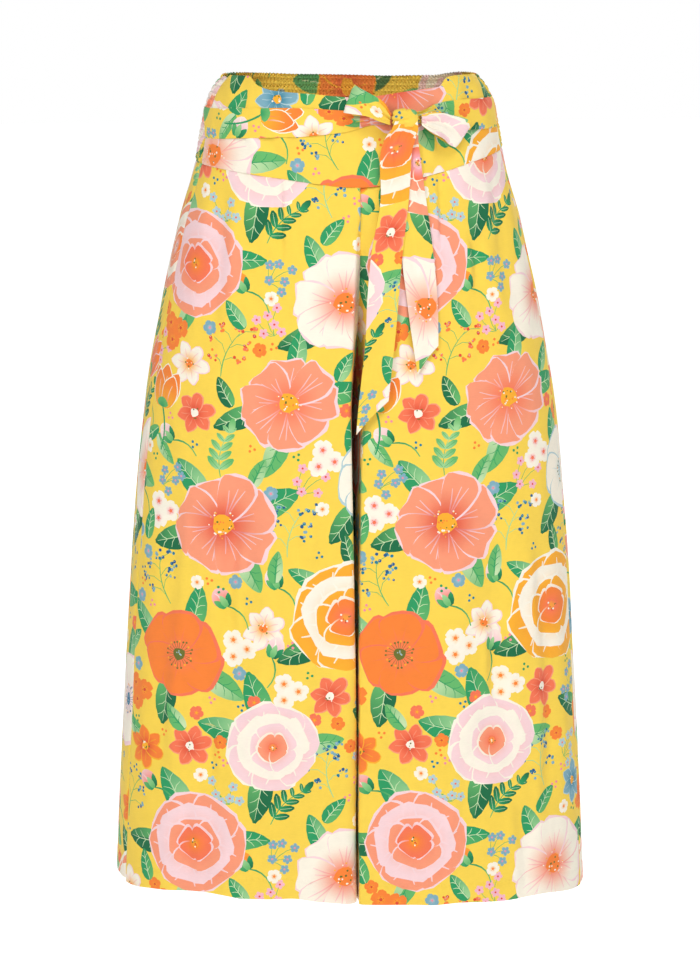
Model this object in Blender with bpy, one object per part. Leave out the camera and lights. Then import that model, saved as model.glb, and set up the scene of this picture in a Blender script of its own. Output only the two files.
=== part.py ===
"""Culottes with a tie sash: a shaped front yoke, a shirred back waistband, four leg panels and a bow.

The garment keeps the hollow form it has when worn. Its front faces -Y, +Z is up, and the origin is
the middle of the waist. Every piece is one cloth wall laid out from the level table: a section of the
body's outline at each height, with the centre-front pleat, the centre-back groove and the large folds.
Table values and the sizes below are millimetres.
"""

import math

import bmesh
import bpy
import numpy as np

MM = 0.001
CLOTH = 1.4
SEAM_GAP = 0.3
HALF_CLOTH = CLOTH / 2
HALF_GAP = SEAM_GAP / 2

SIDE_SEAM_ANGLE = math.radians(79.5)
HEM_HEIGHT = -805.0
CROTCH_HEIGHT = -316.0
CROTCH_Y = 8.0
SEAM_HALF_DISTANCE = HALF_CLOTH + HALF_GAP
INSEAM_HALF_DISTANCE = 1.6
WAIST_FALL_WIDTH = 55.0

WAIST_SEAM_HEIGHT = -88.0
INSEAM_SPREAD = 30.0
FOLD_FADE = 70.0
FOLD_FROM_SEAM = -100.0

# Stations of the walls: rows down a leg panel, and places across it (see leg_point).
LEG_LEVELS = [-185, -215, -245, -270, -292, -307, -316, -335, -380, -450, -530, -620, -715]
LEG_ROWS_ABOVE = 4
LEG_PLACES = [*np.linspace(0, 1, 15), 1.33, 1.67, 2.0, 2.15, 2.35, 2.65, 3.0]
WAIST_ROWS = 6
YOKE_COLUMNS, BAND_COLUMNS = 27, 25
SASH_ROWS = 4
RIBBON_COLUMNS = 5
LOOP_STEPS, TAIL_STEPS = 17, 13

FRONT, BACK = -1, 1
WEARER_RIGHT, WEARER_LEFT = -1, 1


def table(names, *rows):
    """Rows of numbers as named columns; the first column is the one that is looked up."""
    return {name: np.array(column, float) for name, column in zip(names.split(), zip(*rows))}


# The outline at each height. Squareness is the exponent of the rounded section.
LEVELS = table(
    "height half_width front back squareness groove",
    (-806, 237.0, 120, 125, 2.60, 11),
    (-700, 232.0, 119, 124, 2.60, 10),
    (-600, 226.0, 118, 124, 2.60, 9),
    (-480, 218.5, 117, 125, 2.60, 7),
    (-380, 210.0, 116, 127, 2.60, 5),
    (-300, 200.5, 115, 128, 2.55, 3),
    (-220, 186.0, 112, 126, 2.50, 0),
    (-140, 168.0, 107, 118, 2.40, 0),
    (-85, 152.5, 101, 109, 2.30, 0),
    (-45, 145.5, 95, 101, 2.25, 0),
    (-22, 140.0, 91, 96, 2.20, 0),
    (-8, 133.5, 88, 93, 2.20, 0),
    (5, 122.5, 86, 90, 2.20, 0),
)

# The yoke's top edge and the seams under the waistbands, from the wearer's right to the left.
YOKE_TOP = table(
    "x height",
    (-125, 4.5),
    (-103, 4.5),
    (-95, -3.5),
    (-79, -7.8),
    (-48, -10.0),
    (0, -13.5),
    (44, -8.5),
    (62, -6.5),
    (79, -5.0),
    (88, 3.0),
    (125, 4.5),
)
YOKE_SEAM = table(
    "x height", (-153, -80), (-120, -84.5), (-75, -90.5), (0, -98.5), (79, -86), (105, -79), (153, -67)
)
BAND_TOP = table("x height", (-125, 4.5), (-60, 0.5), (0, -1), (60, 0.5), (125, 4.5))
BAND_SEAM = table("x height", (-153, -80), (0, -84), (153, -67))

# The centre-front pleat: its two folded edges, how round they are, and how deep its seam lies.
PLEAT = table(
    "height right_edge left_edge right_round left_round depth",
    (-806, -14.0, -1.2, 13.0, 2.2, 140),
    (-600, -11.0, -1.0, 11.0, 2.2, 140),
    (-460, -9.5, 0.0, 8.0, 2.2, 140),
    (-380, -9.0, 1.0, 4.0, 2.2, 140),
    (-350, -9.0, 2.0, 3.0, 2.2, 140),
    (-316, -9.6, 4.5, 2.6, 2.2, 125),
    (-305, -9.4, 5.2, 2.6, 2.2, 100),
    (-285, -8.8, 6.5, 2.6, 2.2, 66),
    (-250, -7.5, 8.5, 2.5, 2.2, 36),
    (-200, -5.5, 11.5, 2.2, 2.2, 16),
    (-150, -3.2, 15.5, 2.0, 2.2, 7),
    (-118, -0.3, 19.0, 1.5, 2.0, 4),
    (-98, -0.3, 20.0, 1.2, 1.8, 2.8),
)
BACK_GROOVE = table(
    "height edge round depth",
    (-806, 7.0, 14.0, 140),
    (-400, 6.0, 12.0, 140),
    (-316, 6.0, 10.0, 124),
    (-295, 5.5, 9.0, 80),
    (-265, 5.0, 8.0, 36),
    (-220, 4.0, 5.0, 14),
    (-150, 3.0, 3.0, 6),
    (-84, 2.4, 1.5, 3.2),
)

# The largest folds, each a soft trough (or a ridge, where its depth is negative).
FRONT_FOLDS = table(
    "x_top height_top x_low height_low half_width depth",
    (79, -92, 80, -190, 12, 3.2),
    (-75, -92, -79, -215, 12, 2.6),
    (112, -120, 122, -290, 16, 2.4),
    (-112, -330, -128, -640, 20, 5.0),
    (-92, -300, -100, -700, 18, -3.0),
    (-146, -520, -158, -806, 22, 4.5),
    (-60, -560, -52, -806, 26, 3.5),
    (55, -470, 54, -806, 24, 4.0),
    (92, -420, 98, -806, 24, -3.0),
    (131, -380, 136, -720, 20, 4.5),
)
BACK_FOLDS = table(
    "x_top height_top x_low height_low half_width depth",
    (-104, -86, -118, -420, 15, 4.0),
    (-72, -86, -84, -520, 16, -3.5),
    (-44, -86, -52, -330, 14, 4.0),
    (40, -86, 48, -380, 14, 3.5),
    (70, -86, 82, -560, 16, -3.5),
    (101, -86, 116, -400, 15, 4.0),
    (-150, -380, -166, -806, 24, 4.5),
    (-100, -430, -108, -806, 26, 4.0),
    (-55, -470, -58, -806, 24, -3.5),
    (60, -440, 62, -806, 26, 4.0),
    (112, -480, 120, -806, 24, -3.5),
    (152, -400, 166, -806, 24, 4.5),
)

# The tie. Each row is one station along a piece, with both of its edges.
SASH_RIGHT = table(
    "x top bottom",
    (-142, -27, -55.5),
    (-104, -24.5, -52.5),
    (-60, -23.5, -50.6),
    (-36, -24.3, -48.6),
    (-9, -26, -45),
    (13, -27.5, -39.5),
    (43, -28.5, -38.5),
)
SASH_LEFT = table(
    "x top bottom",
    (42, -28, -38.5),
    (58, -27, -39),
    (75, -20.5, -42.5),
    (95, -17.7, -46),
    (118, -17.3, -46.5),
    (142, -17.6, -46.5),
)
LOOP_RIGHT = table(
    "low_x low_height high_x high_height lift",
    (28.0, -39, 28.5, -29, 11.5),
    (18, -35.5, 22, -17.5, 16),
    (5, -30, 9, -9, 16.5),
    (-8, -28, -1, -3.5, 14),
    (-15.5, -27, -5, -0.5, 9.3),
    (-9, -27.5, -1, -3.5, 5),
    (5, -29.5, 9, -9, 4),
    (18, -34.5, 22, -18, 4.6),
    (28.0, -38, 28.5, -30, 7.5),
)
LOOP_LEFT = table(
    "low_x low_height high_x high_height lift",
    (56.5, -39.5, 56.5, -29, 11.5),
    (65, -47.5, 67, -27.5, 15),
    (77, -54.5, 82, -29.5, 14.5),
    (86, -59.5, 97, -34, 11.5),
    (91.5, -62, 107, -39, 8),
    (86, -59, 97, -35, 4.8),
    (76, -53.5, 82, -30, 4),
    (65, -46, 67, -28, 4.6),
    (56.5, -38.5, 56.5, -30, 7.5),
)
TAIL_LONG = table(
    "low_x low_height high_x high_height lift",
    (30, -44.2, 52, -44.2, 10.5),
    (18, -53, 50.5, -50, 9),
    (17.5, -72, 47.5, -67, 7.6),
    (18.5, -112, 46, -106, 5.2),
    (10, -158, 40, -156, 5.2),
    (5.5, -202, 36, -197, 6),
    (3, -248, 32, -241, 7),
    (-3.5, -309, 26, -300, 8),
    (-6.6, -349.5, 23.7, -328, 8.5),
)
TAIL_SHORT = table(
    "low_x low_height high_x high_height lift",
    (40, -44.6, 53.5, -44.2, 8.2),
    (36, -54, 55, -53, 6.6),
    (34, -94, 60.5, -94, 3.2),
    (38, -156, 69, -158, 3),
    (43, -200, 73, -200, 3.2),
    (47.5, -235, 74, -232, 3.6),
    (55.6, -288, 73.5, -271, 4.6),
)
KNOT_CENTRE_X, KNOT_HEIGHT, KNOT_LIFT = 42.3, -34.0, 11.1
KNOT_HALF_SIZE = (13.2, 7.6, 9.6)
KNOT_SQUARENESS = 2.6
SASH_LIFT = CLOTH + SEAM_GAP
LOOP_TROUGH = 3.0


def smooth(tab, column, at):
    """A column's value at a place in the table, on a monotone smooth curve through its rows."""
    place, value = tab[next(iter(tab))], tab[column]
    step, rise = np.diff(place), np.diff(value) / np.diff(place)
    slope = np.zeros(len(place))
    same_way = rise[:-1] * rise[1:] > 0
    mean = 2 * rise[:-1] * rise[1:] / np.where(same_way, rise[:-1] + rise[1:], 1)
    slope[1:-1] = np.where(same_way, mean, 0)
    slope[0], slope[-1] = rise[0], rise[-1]
    at = np.clip(at, place[0], place[-1])
    row = np.clip(np.searchsorted(place, at, side="right") - 1, 0, len(step) - 1)
    t = (at - place[row]) / step[row]
    start, end = value[row], value[row + 1]
    pull = step[row] * (slope[row] * t * (1 - t) ** 2 - slope[row + 1] * t**2 * (1 - t))
    return start + (end - start) * t**2 * (3 - 2 * t) + pull


def ease(share):
    share = np.clip(share, 0, 1)
    return share * share * (3 - 2 * share)


def fold_depth(folds, x, height):
    """How far the folds push the cloth inwards. One from the seam or to the hem is full depth there."""
    total = 0.0
    for top_x, top, low_x, low, width, depth in zip(*folds.values()):
        along = np.clip((top - height) / (top - low), 0, 1)
        fade = 1.0 if top > FOLD_FROM_SEAM else ease((top - height) / FOLD_FADE)
        fade *= 1.0 if low < HEM_HEIGHT else ease((height - low) / min(top - low, 2 * FOLD_FADE))
        centre = top_x + (low_x - top_x) * along
        total += depth * fade * math.exp(-(((x - centre) / width) ** 2))
    return total


def outline_y(x, height, side):
    """Y of the cloth's middle on the front (side -1) or the back (side 1), with folds, no pleat."""
    half = smooth(LEVELS, "half_width", height)
    reach = smooth(LEVELS, "front" if side == FRONT else "back", height)
    square = smooth(LEVELS, "squareness", height)
    across = min(abs(x) / half, 1.0)
    crown = (1 - across**square) ** (1 / square)
    folds = FRONT_FOLDS if side == FRONT else BACK_FOLDS
    inwards = fold_depth(folds, x, height) * min(1.0, crown * 1.6)
    inwards += smooth(LEVELS, "groove", height) * math.exp(-((x / WAIST_FALL_WIDTH) ** 2))
    return side * (reach * crown - inwards)


def outline_point(angle, height):
    """The outline at a polar angle: 0 is centre front, plus or minus 90 degrees the sides."""
    side = FRONT if math.cos(angle) > 0 else BACK
    half = smooth(LEVELS, "half_width", height)
    reach = smooth(LEVELS, "front" if side == FRONT else "back", height)
    square = smooth(LEVELS, "squareness", height)
    radius = ((abs(math.sin(angle)) / half) ** square + (abs(math.cos(angle)) / reach) ** square) ** (
        -1 / square
    )
    x = radius * math.sin(angle)
    return x, outline_y(x, height, side)


def angle_at(x, height, side):
    """The polar angle of the outline at X, without its folds."""
    half = smooth(LEVELS, "half_width", height)
    reach = smooth(LEVELS, "front" if side == FRONT else "back", height)
    square = smooth(LEVELS, "squareness", height)
    crown = max(1 - min(abs(x) / half, 1.0) ** square, 0.0) ** (1 / square)
    return math.atan2(x, -side * reach * crown)


def pleat_values(height, wearer, side):
    """Edge, roundness and seam depth of the pleat or groove, for one leg panel."""
    if side == FRONT:
        name = "right" if wearer == WEARER_RIGHT else "left"
        return [smooth(PLEAT, key, height) for key in (name + "_edge", name + "_round", "depth")]
    edge, roundness, depth = (smooth(BACK_GROOVE, key, height) for key in ("edge", "round", "depth"))
    return wearer * edge, roundness, depth


def turn_in(height, wearer, side):
    """The folded edge of a leg panel, as seen from above.

    It gives the round's centre and radius, the angles it starts and ends at, the seam point that the
    cloth runs to in a straight line, and the x where the round begins. Depths are measured inwards.
    """
    edge, radius, depth = pleat_values(height, wearer, side)
    to_centre = -wearer
    centre_x = edge - to_centre * radius
    near, far = (-side * outline_y(x, height, side) for x in (centre_x, centre_x + to_centre))
    start = math.atan(far - near)
    tangent_x = centre_x + to_centre * radius * math.sin(start)
    centre_in = -side * outline_y(tangent_x, height, side) + radius * math.cos(start)
    seam_in = min(-side * outline_y(0, height, side) + depth, -side * CROTCH_Y - HALF_GAP)
    below = ease((CROTCH_HEIGHT - height) / INSEAM_SPREAD)
    seam_x = wearer * (SEAM_HALF_DISTANCE + (INSEAM_HALF_DISTANCE - SEAM_HALF_DISTANCE) * below)
    away_x, away_in = to_centre * (seam_x - centre_x), seam_in - centre_in
    reach = math.acos(min(radius / math.hypot(away_x, away_in), 1))
    end = math.atan2(away_in, away_x) - reach + math.pi / 2
    return centre_x, centre_in, radius, start, end, seam_x, seam_in, tangent_x


def leg_point(place, height, wearer, side):
    """A panel's cloth middle: place 0 to 1 runs round the leg, 1 to 2 the folded edge, 2 to 3 in."""
    centre_x, centre_in, radius, start, end, seam_x, seam_in, tangent_x = turn_in(height, wearer, side)
    if place <= 1:
        side_angle = SIDE_SEAM_ANGLE + side * HALF_GAP / smooth(LEVELS, "half_width", height)
        fold_angle = abs(angle_at(tangent_x, height, side))
        return outline_point(wearer * (side_angle + (fold_angle - side_angle) * place), height)
    turn = start + (end - start) * min(place - 1, 1)
    x = centre_x - wearer * radius * math.sin(turn)
    inwards = centre_in - radius * math.cos(turn)
    if place > 2:
        x += (seam_x - x) * (place - 2)
        inwards += (seam_in - inwards) * (place - 2)
    return x, -side * inwards


def grid_wall(name, points, material):
    """One closed cloth wall from a grid of its middle points (rows, columns, xyz, millimetres)."""
    rows, columns = points.shape[:2]
    normal = np.cross(np.gradient(points, axis=0), np.gradient(points, axis=1))
    normal /= np.linalg.norm(normal, axis=2, keepdims=True)
    vertices = np.stack([points + normal * HALF_CLOTH, points - normal * HALF_CLOTH]) * MM
    index = np.arange(2 * rows * columns).reshape(2, rows, columns)
    faces = []
    for layer, order in zip(index, (slice(None), slice(None, None, -1))):
        corners = np.stack([layer[:-1, :-1], layer[1:, :-1], layer[1:, 1:], layer[:-1, 1:]], -1)
        faces += [tuple(quad[order]) for quad in corners.reshape(-1, 4).tolist()]
    rim = [(0, c) for c in range(columns)] + [(r, columns - 1) for r in range(1, rows)]
    rim += [(rows - 1, c) for c in range(columns - 2, -1, -1)] + [(r, 0) for r in range(rows - 2, 0, -1)]
    for here, there in zip(rim, rim[1:] + rim[:1]):
        faces.append([int(index[0][here]), int(index[0][there]), int(index[1][there]), int(index[1][here])])
    mesh = bpy.data.meshes.new(name)
    mesh.from_pydata(vertices.reshape(-1, 3).tolist(), [], faces)
    work = bmesh.new()
    work.from_mesh(mesh)
    bmesh.ops.recalc_face_normals(work, faces=work.faces)
    if work.calc_volume(signed=True) < 0:
        bmesh.ops.reverse_faces(work, faces=work.faces)
    work.to_mesh(mesh)
    work.free()
    mesh.materials.append(material)
    mesh.shade_smooth()
    mesh.set_sharp_from_angle(angle=math.radians(40))
    item = bpy.data.objects.new(name, mesh)
    bpy.context.scene.collection.objects.link(item)
    return item


def leg_panel(name, wearer, side, material):
    """A leg panel from the waistband's seam to the hem, from the side seam to the centre and inseam."""
    seam = YOKE_SEAM if side == FRONT else BAND_SEAM
    first = LEG_LEVELS[0]
    grid = []
    for place in LEG_PLACES:
        top = WAIST_SEAM_HEIGHT
        for _ in range(4):
            top = smooth(seam, "height", leg_point(place, top, wearer, side)[0]) - HALF_GAP
        above = [top + (first - top) * step / LEG_ROWS_ABOVE for step in range(LEG_ROWS_ABOVE)]
        heights = above + LEG_LEVELS + [HEM_HEIGHT]
        grid.append([(*leg_point(place, height, wearer, side), height) for height in heights])
    return grid_wall(name, np.array(grid), material)


def waist_piece(name, side, top_edge, seam, columns, material):
    """The yoke or the back band: one curved strip from side seam to side seam."""
    grid = []
    for share in np.linspace(-1, 1, columns):
        column = []
        for step in np.linspace(0, 1, WAIST_ROWS):
            height = 0.0
            for _ in range(4):
                gap_angle = side * HALF_GAP / smooth(LEVELS, "half_width", height)
                angle = (SIDE_SEAM_ANGLE + gap_angle) * share
                if side == BACK:
                    angle = math.pi * (1 - share) + angle
                x, y = outline_point(angle, height)
                top, low = smooth(top_edge, "height", x), smooth(seam, "height", x) + HALF_GAP
                height = top + (low - top) * step
            column.append((x, y, height))
        grid.append(column)
    return grid_wall(name, np.array(grid), material)


def on_front(x, height, lift):
    """A point a given way out from the front outline, square to it as seen from above."""
    y = outline_y(x, height, FRONT)
    slope = outline_y(x + 0.5, height, FRONT) - outline_y(x - 0.5, height, FRONT)
    length = math.hypot(slope, 1)
    return x + lift * slope / length, y - lift / length, height


def sash_band(name, edges, angles, material):
    """A flat stretch of the tie, on the same stations as the yoke under it and moved out."""
    columns = []
    for angle in angles:
        x, _ = outline_point(angle, -36)
        top, low = smooth(edges, "top", x), smooth(edges, "bottom", x)
        column = []
        for height in np.linspace(top, low, SASH_ROWS):
            x, _ = outline_point(angle, height)
            column.append(on_front(x, height, SASH_LIFT))
        columns.append(column)
    return grid_wall(name, np.array(columns).transpose(1, 0, 2), material)


def ribbon(name, rows, steps, material, trough=0.0):
    """A loop or a tail: a strip through the table's stations, lifted off the front."""
    count = len(rows["lift"])
    rows = {"station": np.arange(count, dtype=float), **rows}
    grid = []
    for station in np.linspace(0, count - 1, steps):
        low_x, low, high_x, high, lift = (
            spline(rows[key], station) for key in ("low_x", "low_height", "high_x", "high_height", "lift")
        )
        opening = math.sin(math.pi * min(2 * station / (count - 1), 1))
        line = []
        for share in np.linspace(0, 1, RIBBON_COLUMNS):
            dip = trough * math.sin(math.pi * share) ** 2 * opening
            x, height = low_x + (high_x - low_x) * share, low + (high - low) * share
            line.append(on_front(x, height, lift - dip))
        grid.append(line)
    return grid_wall(name, np.array(grid), material)


def spline(values, at):
    """A rounded curve through evenly spaced values."""
    last = len(values) - 1
    i = min(int(at), last - 1)
    t = at - i
    a, b, c, d = (values[min(max(k, 0), last)] for k in (i - 1, i, i + 1, i + 2))
    return b + 0.5 * t * (c - a + t * (2 * a - 5 * b + 4 * c - d + t * (3 * (b - c) + d - a)))


def knot(name, material):
    """The wrapped knot: a rounded block in front of the sash's two ends."""
    centre = on_front(KNOT_CENTRE_X, KNOT_HEIGHT, KNOT_LIFT)
    bpy.ops.mesh.primitive_uv_sphere_add(segments=20, ring_count=12, radius=1)
    item = bpy.context.object
    item.name = item.data.name = name
    for vertex in item.data.vertices:
        size = sum(abs(value) ** KNOT_SQUARENESS for value in vertex.co) ** (-1 / KNOT_SQUARENESS)
        vertex.co = [
            (middle + value * size * half) * MM
            for value, half, middle in zip(vertex.co, KNOT_HALF_SIZE, centre)
        ]
    item.data.materials.append(material)
    item.data.shade_smooth()
    return item


def cloth_material(name, colour):
    """Crisp printed cotton: its ground colour, matt."""
    material = bpy.data.materials.new(name)
    material.use_nodes = True
    shader = material.node_tree.nodes["Principled BSDF"]
    shader.inputs["Base Color"].default_value = (*colour, 1)
    shader.inputs["Roughness"].default_value = 0.85
    shader.inputs["Metallic"].default_value = 0.0
    return material


def main():
    for item in list(bpy.data.objects):
        bpy.data.objects.remove(item, do_unlink=True)
    body = cloth_material("printed_cotton", (0.95, 0.68, 0.08))
    tie = cloth_material("printed_cotton_tie", (0.95, 0.55, 0.20))
    waist_piece("yoke_front", FRONT, YOKE_TOP, YOKE_SEAM, YOKE_COLUMNS, body)
    waist_piece("band_back", BACK, BAND_TOP, BAND_SEAM, BAND_COLUMNS, body)
    leg_panel("leg_front_right", WEARER_RIGHT, FRONT, body)
    leg_panel("leg_front_left", WEARER_LEFT, FRONT, body)
    leg_panel("leg_back_right", WEARER_RIGHT, BACK, body)
    leg_panel("leg_back_left", WEARER_LEFT, BACK, body)
    stations = np.linspace(-1, 1, YOKE_COLUMNS) * SIDE_SEAM_ANGLE
    knot_angle = angle_at(KNOT_CENTRE_X, KNOT_HEIGHT, FRONT)
    gap_angle = HALF_GAP / 100
    right = [a for a in stations[1:] if a < knot_angle - 0.01] + [knot_angle - gap_angle]
    left = [knot_angle + gap_angle] + [a for a in stations[:-1] if a > knot_angle + 0.01]
    sash_band("sash_right", SASH_RIGHT, right, tie)
    sash_band("sash_left", SASH_LEFT, left, tie)
    knot("knot", tie)
    ribbon("loop_right", LOOP_RIGHT, LOOP_STEPS, tie, LOOP_TROUGH)
    ribbon("loop_left", LOOP_LEFT, LOOP_STEPS, tie, LOOP_TROUGH)
    ribbon("tail_long", TAIL_LONG, TAIL_STEPS, tie)
    ribbon("tail_short", TAIL_SHORT, TAIL_STEPS, tie)


main()
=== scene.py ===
"""Culottes with a tie sash: the cloth pieces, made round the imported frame.

Each piece is cloth laid out in its own flat coordinates: s runs across it and t up it, in millimetres.
A Lay says where that cloth hangs, and the printed pattern is cut into its mesh as flat areas of colour.
Sides are the wearer's. The front faces -Y and +Z is up.
"""

import collections
import functools
import math

import bpy
import numpy as np
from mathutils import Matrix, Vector
from mathutils.geometry import delaunay_2d_cdt


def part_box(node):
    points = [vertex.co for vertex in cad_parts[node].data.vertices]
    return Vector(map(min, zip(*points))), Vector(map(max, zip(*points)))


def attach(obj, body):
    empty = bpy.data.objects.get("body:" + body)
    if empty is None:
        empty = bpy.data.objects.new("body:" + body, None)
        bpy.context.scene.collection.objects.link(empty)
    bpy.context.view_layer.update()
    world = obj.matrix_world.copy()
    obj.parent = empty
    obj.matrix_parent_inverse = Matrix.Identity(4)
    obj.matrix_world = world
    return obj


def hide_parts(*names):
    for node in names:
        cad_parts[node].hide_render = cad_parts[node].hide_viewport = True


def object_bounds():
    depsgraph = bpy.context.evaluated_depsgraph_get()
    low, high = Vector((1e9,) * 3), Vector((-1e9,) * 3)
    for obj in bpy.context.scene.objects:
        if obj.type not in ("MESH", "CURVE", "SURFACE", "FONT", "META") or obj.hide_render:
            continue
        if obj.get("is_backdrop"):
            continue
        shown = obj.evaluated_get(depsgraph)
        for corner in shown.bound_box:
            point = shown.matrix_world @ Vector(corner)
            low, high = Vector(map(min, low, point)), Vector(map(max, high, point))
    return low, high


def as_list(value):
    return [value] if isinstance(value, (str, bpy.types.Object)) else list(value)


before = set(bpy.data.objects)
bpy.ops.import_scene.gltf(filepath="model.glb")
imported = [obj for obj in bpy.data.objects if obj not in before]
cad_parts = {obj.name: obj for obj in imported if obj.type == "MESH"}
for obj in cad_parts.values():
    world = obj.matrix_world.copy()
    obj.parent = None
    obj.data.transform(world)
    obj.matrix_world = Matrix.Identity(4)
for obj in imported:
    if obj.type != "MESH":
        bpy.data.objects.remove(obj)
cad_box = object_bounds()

bl_info = {
    "name": "Culottes With Tie Sash",
    "version": (1, 0, 0),
    "blender": (4, 5, 0),
    "location": "3D View > Sidebar > Culottes",
    "description": "Makes the cloth pieces of a pair of printed culottes round their packed frame",
    "category": "Add Mesh",
}

# Lengths are in millimetres, and heights from the level of the waist.
MM = 0.001
CLOTH = 1.4
SEAM_GAP = 0.3
TIE_WIDTH = 30.0
SIDE_SEAM_ANGLE = math.radians(79.5)
HEM_HEIGHT = -805.0
CROTCH_HEIGHT = -316.0
CROTCH_Y = 8.0
HALF_GAP = 0.15
SEAM_HALF_DISTANCE = 0.45
INSEAM_HALF_DISTANCE = 1.2
INSEAM_SPREAD = 30.0
WAIST_FALL_WIDTH = 55.0
FOLD_FADE = 70.0
FOLD_FROM_SEAM = -100.0
GRAIN_LINE = 70.0

FRONT, BACK = -1, 1
WEARER_RIGHT, WEARER_LEFT = -1, 1

Area = collections.namedtuple("Area", "outline near far reach centre")


def table(names, *rows):
    """Rows of numbers as named columns; the first column is the one that is looked up."""
    return {name: np.array(column, float) for name, column in zip(names.split(), zip(*rows))}


# The outline at each height. Squareness is the exponent of the rounded section.
LEVELS = table(
    "height half_width front back squareness groove",
    (-806, 237.0, 120, 125, 2.60, 11),
    (-700, 232.0, 119, 124, 2.60, 10),
    (-600, 226.0, 118, 124, 2.60, 9),
    (-480, 218.5, 117, 125, 2.60, 7),
    (-380, 210.0, 116, 127, 2.60, 5),
    (-300, 200.5, 115, 128, 2.55, 3),
    (-220, 186.0, 112, 126, 2.50, 0),
    (-140, 168.0, 107, 118, 2.40, 0),
    (-85, 152.5, 101, 109, 2.30, 0),
    (-45, 145.5, 95, 101, 2.25, 0),
    (-22, 140.0, 91, 96, 2.20, 0),
    (-8, 133.5, 88, 93, 2.20, 0),
    (5, 122.5, 86, 90, 2.20, 0),
)

# The yoke's top edge and the seams under the waistbands, from the wearer's right to the left.
YOKE_TOP = table(
    "x height",
    *((-125, 4.8), (-103, 5.6), (-95, -3.0), (-79, -7.8), (-48, -10.0), (0, -13.5)),
    *((44, -8.5), (62, -6.5), (79, -5.0), (88, 4.0), (100, 5.4), (125, 4.8)),
)
YOKE_SEAM = table(
    "x height", (-153, -80), (-120, -84.5), (-75, -90.5), (0, -98.5), (79, -86), (105, -79), (153, -67)
)
BAND_TOP = table("x height", (-125, 3.4), (-60, -0.6), (0, -2.1), (60, -3.2), (95, -2.0), (125, 3.2))
BAND_SEAM = table("x height", (-153, -80), (0, -84), (153, -67))

# How far the hem hangs above its level (or below it, where negative).
FRONT_HEM = table(
    "x rise",
    *((-237, 10), (-225, 9), (-204, 11), (-164, 12.5), (-134, 10.5), (-118, 8), (-72, 7.5), (-41, 2)),
    *((5, -2.5), (66, -3.5), (97, -0.5), (143, -3), (183, -1.5), (224, -6), (237, -6)),
)
BACK_HEM = table(
    "x rise", (-237, 13), (-200, 9), (-120, 3.5), (0, -2.5), (120, -1), (200, -3.5), (237, -6)
)

# The centre-front pleat: its two folded edges, how round they are, and how deep its seam lies.
PLEAT = table(
    "height right_edge left_edge right_round left_round depth",
    (-806, -3.4, -1.0, 14.0, 2.2, 140),
    (-700, -3.6, -1.0, 13.0, 2.2, 140),
    (-600, -4.2, -0.8, 10.0, 2.2, 140),
    (-460, -6.6, 0.0, 6.0, 2.2, 140),
    (-380, -8.4, 1.0, 3.6, 2.2, 140),
    (-350, -9.0, 2.0, 3.0, 2.2, 140),
    (-316, -9.6, 4.5, 2.6, 2.2, 125),
    (-305, -9.4, 5.2, 2.6, 2.2, 100),
    (-285, -8.8, 6.5, 2.6, 2.2, 74),
    (-250, -7.5, 8.5, 2.5, 2.2, 42),
    (-200, -5.5, 11.5, 2.2, 2.2, 18),
    (-150, -3.2, 15.5, 2.0, 2.2, 7),
    (-118, -0.3, 19.0, 1.5, 2.0, 4),
    (-98, -0.3, 20.0, 1.2, 1.8, 2.8),
)
BACK_GROOVE = table(
    "height edge round depth",
    (-806, 3.0, 14.0, 140),
    (-400, 3.0, 12.0, 140),
    (-316, 3.5, 10.0, 124),
    (-295, 5.5, 9.0, 80),
    (-265, 5.0, 8.0, 36),
    (-220, 4.0, 5.0, 14),
    (-150, 3.0, 3.0, 6),
    (-84, 2.4, 1.5, 3.2),
)

# The largest folds, each a soft trough (or a ridge, where its depth is negative).
FRONT_FOLDS = table(
    "x_top height_top x_low height_low half_width depth",
    (79, -92, 80, -190, 12, 3.2),
    (-75, -92, -79, -215, 12, 2.6),
    (112, -120, 122, -290, 16, 2.4),
    (-112, -330, -128, -640, 20, 5.0),
    (-92, -300, -100, -700, 18, -3.0),
    (-146, -520, -158, -806, 22, 4.5),
    (-60, -560, -52, -806, 26, 3.5),
    (55, -470, 54, -806, 24, 4.0),
    (92, -420, 98, -806, 24, -3.0),
    (131, -380, 136, -720, 20, 4.5),
)
BACK_FOLDS = table(
    "x_top height_top x_low height_low half_width depth",
    (-104, -86, -118, -420, 15, 4.0),
    (-72, -86, -84, -520, 16, -3.5),
    (-44, -86, -52, -330, 14, 4.0),
    (40, -86, 48, -380, 14, 3.5),
    (70, -86, 82, -560, 16, -3.5),
    (101, -86, 116, -400, 15, 4.0),
    (-150, -380, -166, -806, 24, 4.5),
    (-100, -430, -108, -806, 26, 4.0),
    (-55, -470, -58, -806, 24, -3.5),
    (60, -440, 62, -806, 26, 4.0),
    (112, -480, 120, -806, 24, -3.5),
    (152, -400, 166, -806, 24, 4.5),
)

# The tie. Each row is one station along a piece, with both of its edges.
STATION = "low_x low_height high_x high_height lift"
SASH_RIGHT = table(
    "x top bottom",
    (-142, -27, -55.5),
    (-104, -24.5, -52.5),
    (-60, -23.5, -50.6),
    (-36, -24.3, -48.6),
    (-9, -26, -45),
    (13, -27.5, -39.5),
    (43, -28.5, -38.5),
)
SASH_LEFT = table(
    "x top bottom",
    (42, -28, -38.5),
    (58, -27, -39),
    (75, -20.5, -42.5),
    (95, -17.7, -46),
    (118, -17.3, -46.5),
    (142, -17.6, -46.5),
)
LOOP_RIGHT = table(
    STATION,
    (28.0, -39, 28.5, -29, 11.5),
    (18, -35.5, 22, -17.5, 16),
    (5, -30, 9, -9, 16.5),
    (-8, -28, -1, -3.5, 14),
    (-15.5, -27, -5, -0.5, 9.3),
    (-9, -27.5, -1, -3.5, 5),
    (5, -29.5, 9, -9, 4),
    (18, -34.5, 22, -18, 4.6),
    (28.0, -38, 28.5, -30, 7.5),
)
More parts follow.
